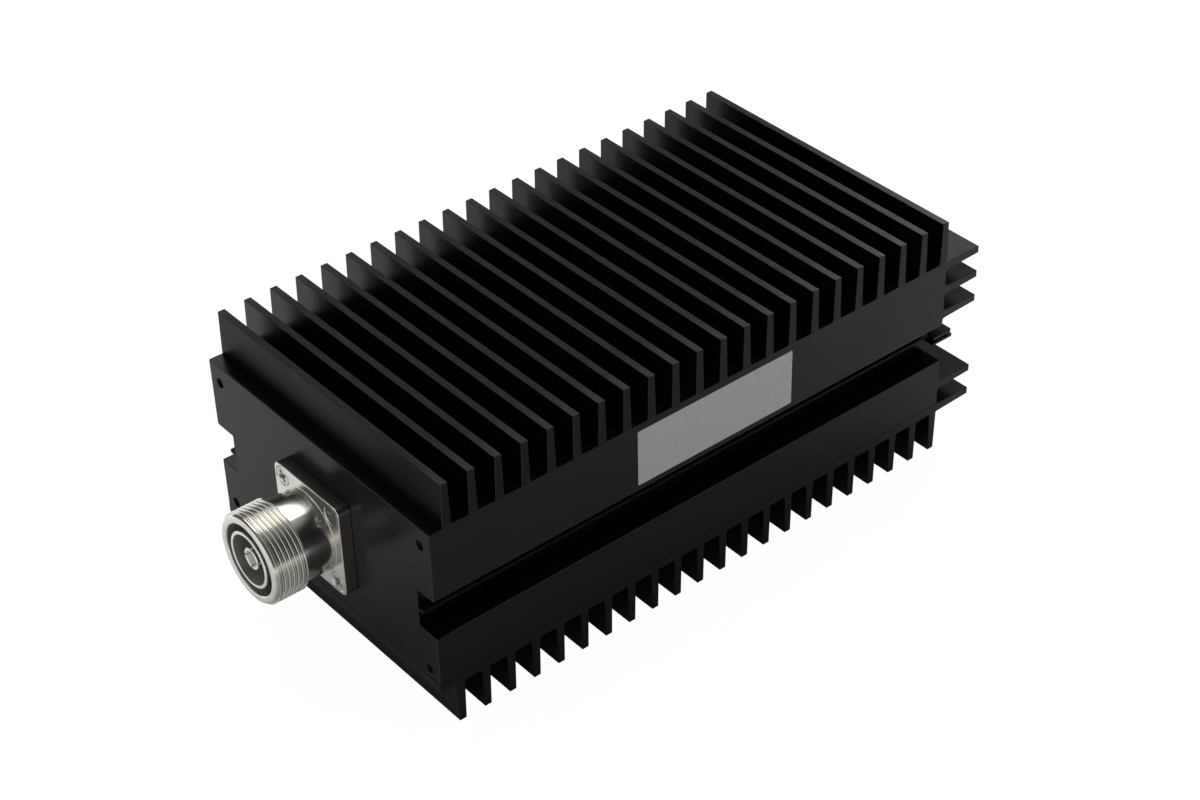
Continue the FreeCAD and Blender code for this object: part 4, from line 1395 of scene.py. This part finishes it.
@dataclass
class Contacts(ConnectorPart):
    """The sleeve and the slotted socket inside the barrel.

    Attributes:
        sleeve: x of the sleeve's front and back.
        sleeve_radii: Rounding of its edges: front inside and outside, back outside and inside.
        sleeve_lip: How far behind the barrel's front the sleeve's darker bore, a painted shade, starts.
        tip_eases: Bevels of the tip, outside and inside.
        slot_half: Half a slot's width, as an angle.
        rim: Inner and outer radius of the fingers.
        floor: x of the bore's floor, and length of the cone behind it.
        collar: x of the collar's front and back, and its radius.
        tail: Radius of the solid neck behind the collar.
        pin_hole: Radius and depth of the hole for the pin in its end.
        bright_from: How far behind the tip the bright bore, a painted highlight, starts.
    """

    sleeve: Pair = (-25.3, -9.0)
    sleeve_radii: tuple[float, ...] = (0.2, 0.35, 0.1, 0.1)
    sleeve_lip: float = 0.6
    tip: float = -24.4
    tip_eases: Pair = (0.12, 0.16)
    slots: int = 4
    slot_half: float = radians(5)
    slot_end: float = -18.4
    finger_columns: int = 9
    rim: Pair = (2.5, 3.5)
    floor: Pair = (-15.4, 1.2)
    collar: Triple = (-10.0, -9.0, 4.5)
    tail: float = 3.0
    pin_hole: Pair = (1.3, 3.0)
    bright_from: float = 0.3

    def build_sleeve(self) -> None:
        """Turns the outer contact, a thin ring with eased lips."""
        front, back = self.sleeve
        section = eased(np.array([(front, self.line_bore), (front, self.spigot), (back, self.spigot),
                                  (back, self.line_bore)]), self.sleeve_radii)
        section = np.append(section, section[:1], axis=0)
        shell = Shell("outer_contact_sleeve")
        shell.add_grid(turned(section, full_turn(self.turns)[:-1], self.block.axis))
        self.put_in(shell, "outer_contact", Skin.CONTACT, lambda at: {
            # The sleeve's bore takes the darker finish, a painted shade
            Skin.SHADED_BORE: self.inward(at, self.front + self.sleeve_lip),
        })

    def build_socket(self) -> None:
        """Turns the centre contact: a slotted socket in front, a collar and a solid neck behind.

        Every slot has two columns at each of its edges. One keeps the rim at the tip and the other
        drops it to the slot's floor, so the faces between them are the slot's walls.
        """
        rim_in, rim_out = self.rim
        floor, cone = self.floor
        collar_front, collar_back, collar = self.collar
        pin, pin_depth = self.pin_hole
        fingers = np.linspace(self.slot_half, tau / self.slots - self.slot_half, self.finger_columns)
        gap = [-self.slot_half, self.slot_half]
        pattern = np.concatenate([gap, fingers])
        angle = (np.arange(self.slots)[:, None] * tau / self.slots + pattern).ravel()
        slotted = np.tile(np.arange(len(pattern)) < len(gap), self.slots)
        front = np.where(slotted, self.slot_end, self.tip)
        outer, inner = (np.where(slotted, 0, ease) for ease in self.tip_eases)
        grid = lathed([
            (-pin_depth, 0), (-pin_depth, pin), (0, pin), (0, self.tail), (collar_back, self.tail),
            (collar_back, collar), (collar_front, collar), (collar_front, rim_out),
            (self.slot_end, rim_out), (front + outer, rim_out), (front, rim_out - outer),
            (front, rim_in + inner), (front + inner, rim_in), (self.slot_end, rim_in), (floor, rim_in),
            (floor + cone, 0)], len(angle))
        shell = Shell("centre_socket_slotted")
        shell.add_grid(turned(grid, angle, self.block.axis))
        self.put_in(shell, "centre_socket", Skin.CONTACT, lambda at: {
            # The socket's bore takes the near-white finish, a painted highlight
            Skin.LIT_SOCKET: self.inward(at, self.tip + self.bright_from),
        })

    def build(self) -> None:
        """Builds both contacts."""
        self.build_sleeve()
        self.build_socket()


@dataclass
class FlangeScrews(Part):
    """The four countersunk screws, each with a tapered cross recess.

    Attributes:
        sunk: How far the heads lie behind the flange's face.
        head_rim: Height of the head's rim.
        roundings: Rounding of the head's edge and of the shank's end.
        arm: Length and half the width of the cross's arms.
        taper: The recess's size at its floor, as a share of that at its mouth.
        turns: Each cross's turn, in degrees.
    """

    sunk: float = 0.08
    head: float = 3.05
    shank: float = 1.5
    length: float = 16.0
    head_rim: float = 0.1
    roundings: Pair = (0.22, 0.4)
    arms: int = 4
    arm: Pair = (2.0, 0.6)
    arm_rounding: float = 0.18
    depth: float = 1.2
    taper: float = 0.7
    turns: tuple[float, ...] = (-60, 20, -20, 60)
    columns: int = 48
    steps: int = 5

    def build(self) -> None:
        """Turns each screw about its own axis and sinks its cross into the head."""
        block = self.block
        face, tip = block.flange_face + self.sunk, block.flange_face + self.length
        arm, half = self.arm
        corner = np.array([(half, half), (half, arm), (-half, arm)])
        outline = [corner @ turned_axes(turn) for turn in full_turn(self.arms)[:-1]]
        cross = eased(np.concatenate(outline), self.arm_rounding)
        neck = face + self.head_rim + self.head - self.shank
        edge, end = self.roundings
        corners = np.array([(face, 0), (face, self.head), (neck, self.shank), (tip, self.shank), (tip, 0)])
        body = eased(corners, [0, edge, 0, end, 0], self.steps)[self.steps:]
        shell = Shell("flange_screws_crosshead")
        for spot, turn in zip(block.screw_spots, self.turns):
            recess = cross @ turned_axes(radians(turn))
            wall = turned(body, full_turn(self.columns), spot)
            shell.add_grid(wall, closed=False)
            shell.add_flat([wall[0][:-1, 1:], recess + spot], Axis.ALONG, face)
            sides = np.stack([standing(recess * size + spot, Axis.ALONG, face + sunk)
                              for size, sunk in ((1, 0), (self.taper, self.depth))])
            shell.add_grid(sides)
            shell.add_lid(sides[-1])
        self.put_in(shell, "flange_screws", Skin.SCREW)


@dataclass
class ClampScrews(Part):
    """Six socket cap screws in the channels between the bottom fins.

    Attributes:
        along: x of the three columns.
        across: y of the two rows.
        sides: Number of the socket's flats.
        flats: Width across them.
        depth: Depth of the socket, and of the cone at its floor.
        ridges: Number of ridges round a head, and their depth as a share of its radius.
        ridge_columns: Number of points for each ridge.
        eases: Bevels of the head's outer edge, its inner edge and the shank's end, in and along.
    """

    along: tuple[float, ...] = (29.795, 102.435, 175.075)
    across: Pair = (-38.0, 38.0)
    head: float = 2.75
    height: float = 3.0
    shank: float = 1.5
    length: float = 35.0
    sides: int = 6
    flats: float = 2.5
    depth: Pair = (1.6, 0.5)
    ridges: tuple[int, float] = (24, 0.025)
    ridge_columns: int = 4
    eases: tuple[Pair, Pair, Pair] = ((0.35, 0.3), (0.15, 0.2), (0.4, 0.4))

    def build(self) -> None:
        """Turns each screw about its upright axis; ridges make the head's radius rise and fall."""
        low, high = self.block.underside - self.height, self.block.underside
        count, groove = self.ridges
        (outer_in, outer_up), (inner_in, inner_up), (end_in, end_up) = self.eases
        angle = full_turn(count * self.ridge_columns)[:-1]
        ridge = self.head * (1 - groove * (1 - np.cos(count * angle)) / 2)
        end = high + self.length
        screw = turned(lathed([
            (low, self.head - outer_in), (low + outer_up, ridge), (high - inner_up, ridge),
            (high, self.head - inner_in), (high, self.shank), (end - end_up, self.shank),
            (end, self.shank - end_in)], len(angle)), angle)[..., [1, 2, 0]]
        depth, cone = self.depth
        hexagon = circle(self.flats / 2 / np.cos(pi / self.sides), full_turn(self.sides)[:-1])
        socket = [standing(hexagon * size, Axis.UP, low + sunk)
                  for size, sunk in ((1, 0), (1, depth), (0, depth + cone))]
        shell = Shell("clamp_screws_socket_head")
        for x, y in [(x, y) for x in self.along for y in self.across]:
            place = np.array([x, y, 0])
            shell.add_grid(screw + place)
            shell.add_lid(screw[-1] + place)
            shell.add_flat([circle(self.head - outer_in, angle, (x, y)), hexagon + (x, y)], Axis.UP, low)
            shell.add_grid(np.stack(socket) + place)
        self.put_in(shell, "clamp_screws", Skin.DARK_SCREW)


@dataclass
class Label(Part):
    """The bare film label on the left side.

    Attributes:
        start: x of its front edge.
        margin: Its distance from the wall's edges.
    """

    start: float = 73.7
    length: float = 60.2
    margin: float = 2.35
    thickness: float = 0.12
    corner: float = 0.5
    bevel: float = 0.04

    def build(self) -> None:
        """Cuts the film with small round corners and a thin bevel."""
        block = self.block
        low, high = block.groove_roof + self.margin, block.top - self.margin
        corners = rectangle((self.start, low), (self.start + self.length, high))
        shell = Shell("rating_label_film")
        shell.add_plate(Axis.ACROSS, corners, self.corner, (-block.side - self.thickness, -block.side),
                        (self.bevel, 0))
        self.put_in(shell, "rating_label", Skin.LABEL)


# Studio


@dataclass(frozen=True)
class Camera:
    """The photograph's camera, found from the block's corners and fins.

    Attributes:
        place: Its place from the end plate's lower edge, in millimetres.
        pan: Its turn about z, in degrees.
        tilt: Its tilt up from straight down.
        roll: Its turn about its own view.
        focal: Its focal length, in pixels of the photograph.
        image: The photograph's width, in pixels.
        sensor: The sensor's width, in millimetres.
        clip: The nearest and farthest distance that it sees, in metres.
    """

    place: Triple = (-283.931, -479.576, 496.345)
    pan: float = -38.981
    tilt: float = 53.246
    roll: float = -1.498
    focal: float = 2474.608
    image: float = 1200
    sensor: float = 36
    clip: Pair = (0.01, 50)

    def build(self, origin: np.ndarray) -> None:
        """Adds the camera and makes it the scene's.

        Args:
            origin: Where the end plate's outer face meets the floor, in metres.
        """
        data = bpy.data.cameras.new("photo_camera")
        data.sensor_width = self.sensor
        data.lens = self.focal * self.sensor / self.image
        data.clip_start, data.clip_end = self.clip
        camera = linked("photo_camera", data)
        camera.matrix_world = Matrix.Translation(Vector(self.place) * MILLIMETRE + Vector(origin))
        for angle, axis in ((self.pan, "Z"), (self.tilt, "X"), (self.roll, "Z")):
            camera.matrix_world = camera.matrix_world @ Matrix.Rotation(radians(angle), 4, axis)
        bpy.context.scene.camera = camera


@dataclass(frozen=True)
class SoftBox:
    """A large soft lamp that points at the object.

    Attributes:
        place: Its place in metres.
        size: Its width and height in metres.
        power: Its power in watts.
        aim: The point that it faces, in metres.
    """

    name: str
    place: Triple
    size: Pair
    power: float
    aim: Triple = (0, 0, 0.04)

    def build(self) -> None:
        """Adds the lamp, turned towards the object's middle."""
        data = bpy.data.lights.new(self.name, "AREA")
        data.shape = "RECTANGLE"
        data.size, data.size_y = self.size
        data.energy = self.power
        way = Vector(self.aim) - Vector(self.place)
        turn = way.to_track_quat("-Z", "Y").to_matrix().to_4x4()
        linked(self.name, data).matrix_world = Matrix.Translation(self.place) @ turn


@dataclass
class Studio:
    """White floor and surroundings, lamps and camera.

    A camera sees floor and surroundings white. A mirror shows the floor with a painted shadow,
    darkest beside the object's right front corner, and the room pale low in front and dark
    elsewhere.

    Attributes:
        floor_half: Half the floor's width, in metres.
        floor_white: The floor's colour where a camera sees it or light falls from it.
        seen_share: How much of the floor is plain white where the camera sees it.
        seen_white: The strength of that white.
        painted_shadow_spot: Where the floor's painted shadow is darkest in a mirror, in metres.
        floor_reach: The distances from that spot between which it brightens, in metres.
        painted_shadow_tones: The floor's colour in a mirror, at that spot and away from it.
        front: The way low in front, the reaches along it, and the room's strengths there in a mirror.
        top: The same for what the room's top adds.
        light: The surroundings' strength as a lamp.
        lamps: The soft lamps.
        camera: The camera.
    """

    floor_half: float = 6.0
    floor_white: float = 0.95
    seen_share: float = 0.96
    seen_white: float = 1.02
    # Painted shadow on the floor, seen only in mirrors
    painted_shadow_spot: Triple = (-0.04, -0.10, 0)
    floor_reach: Pair = (0.04, 0.26)
    painted_shadow_tones: Pair = (0.42, 1.0)
    front: tuple[Triple, Pair, Pair] = ((-1, 0, -0.9), (0.05, 0.75), (0.08, 0.95))
    top: tuple[Triple, Pair, Pair] = ((0.33, 0.1, 0.94), (0.75, 0.98), (0, 0.3))
    light: float = 0.55
    lamps: tuple[SoftBox, ...] = (
        SoftBox("top_softbox", (0.31, 0.47, 0.95), (0.8, 1.1), 6.0),
        SoftBox("rear_softbox", (0.92, 0.54, 0.60), (0.35, 0.5), 3.4),
    )
    camera: Camera = Camera()

    def rays(self, nodes: Nodes, *kinds: str) -> Socket:
        """Tells rays of some kinds from the others.

        Args:
            nodes: The nodes that it joins.
            kinds: The light path's names of these kinds.

        Returns:
            The socket with 1 for these rays and 0 for the others.
        """
        path = nodes.add("ShaderNodeLightPath", {})
        total = path.outputs[kinds[0]]
        for kind in kinds[1:]:
            both = {0: total, 1: path.outputs[kind]}
            total = nodes.add("ShaderNodeMath", both, operation="ADD", use_clamp=True).outputs[0]
        return total

    def level(self, nodes: Nodes, source: str, measure: Measure, other: Triple, reach: Pair,
              levels: Pair) -> Socket:
        """Gives a level that changes smoothly with a point's distance from, or reach along, a vector.

        Args:
            nodes: The nodes that it joins.
            source: The name of the point's coordinates.
            measure: What the level goes by.
            other: The vector.
            reach: The measures between which the level changes.
            levels: The level before and after.

        Returns:
            The socket with the level.
        """
        place = nodes.add("ShaderNodeTexCoord", {}).outputs[source]
        found = nodes.add("ShaderNodeVectorMath", {0: place, 1: other}, operation=measure.value)
        return nodes.spread(found.outputs["Value"], reach, levels, Ramp.SOFT)

    def build_floor(self) -> None:
        """Lays a wide white floor that keeps a faint shadow, with a painted shadow that only mirrors see.
        """
        mesh = bpy.data.meshes.new("studio_floor")
        corners = rectangle((-self.floor_half,) * 2, (self.floor_half,) * 2)
        mesh.from_pydata(standing(corners, Axis.UP, 0).tolist(), [], [range(len(corners))])
        floor = linked("studio_floor", mesh)
        material = bpy.data.materials.new("studio_white")
        material.use_nodes = True
        tree = material.node_tree
        tree.nodes.remove(tree.nodes["Principled BSDF"])
        nodes = Nodes(tree)
        # Painted shadow on the floor, which only mirrors see
        painted_shadow = self.level(nodes, "Object", Measure.AWAY, self.painted_shadow_spot, self.floor_reach, self.painted_shadow_tones)
        mirror = self.rays(nodes, "Is Glossy Ray", "Is Transmission Ray")
        tone = nodes.add("ShaderNodeMix", {"Factor": mirror, "A": self.floor_white, "B": painted_shadow})
        matt = nodes.add("ShaderNodeBsdfDiffuse", {"Color": tone.outputs["Result"]})
        plain = nodes.add("ShaderNodeEmission", {"Strength": self.seen_white})
        seen = self.rays(nodes, "Is Camera Ray")
        share = nodes.add("ShaderNodeMath", {0: seen, 1: self.seen_share}, operation="MULTIPLY")
        parts = {number: node.outputs[0] for number, node in enumerate((share, matt, plain))}
        mix = nodes.add("ShaderNodeMixShader", parts)
        nodes.feed(tree.nodes["Material Output"], {"Surface": mix.outputs[0]})
        mesh.materials.append(material)

    def build_surroundings(self) -> None:
        """Makes the world white for the camera, a room for mirrors, and a plain lamp otherwise."""
        world = bpy.data.worlds.new("studio_world")
        world.use_nodes = True
        nodes = Nodes(world.node_tree)
        room = nodes.add("ShaderNodeMath", {
            number: self.level(nodes, "Generated", Measure.ALONG, *way)
            for number, way in enumerate((self.front, self.top))})
        mirror = self.rays(nodes, "Is Glossy Ray", "Is Transmission Ray")
        unseen = nodes.add("ShaderNodeMix", {"Factor": mirror, "A": self.light, "B": room.outputs[0]})
        camera = self.rays(nodes, "Is Camera Ray")
        strength = nodes.add("ShaderNodeMix", {"Factor": camera, "A": unseen.outputs["Result"], "B": 1.0})
        nodes.feed(nodes.tree.nodes["Background"], {
            "Color": (1, 1, 1, 1), "Strength": strength.outputs["Result"]})
        bpy.context.scene.world = world

    def build(self, origin: np.ndarray) -> None:
        """Sets up everything round the object.

        Args:
            origin: Where the end plate's outer face meets the floor, in metres.
        """
        self.build_floor()
        self.build_surroundings()
        for lamp in self.lamps:
            lamp.build()
        self.camera.build(origin)
        bpy.context.scene.view_settings.view_transform = "Standard"


def dress_inner_parts(nodes: dict[str, bpy.types.Object]) -> None:
    """Gives every CAD node that keeps its own shape its finish.

    Args:
        nodes: The frame's nodes by name.
    """
    for name, finish in INNER_FINISHES.items():
        node = nodes[name]
        if not node.material_slots:
            node.data.materials.append(None)
        for slot in node.material_slots:
            slot.material = finish.make()
        LOG.info("%s: %s", name, finish.name)


def main() -> None:
    """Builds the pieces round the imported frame, then the studio."""
    logging.basicConfig(level=logging.INFO, format="%(name)s %(message)s")
    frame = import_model()
    looks = {skin: finish.make() for skin, finish in FINISHES.items()}
    block = Block()
    for part in (Halves, BottomPlate, EndPlate, CentreSheet, Connector, Contacts, FlangeScrews, ClampScrews,
                 Label):
        part(block, looks).build()
    dress_inner_parts(frame["nodes"])
    Studio().build(block.origin)


if __name__ == "__main__":
    main()
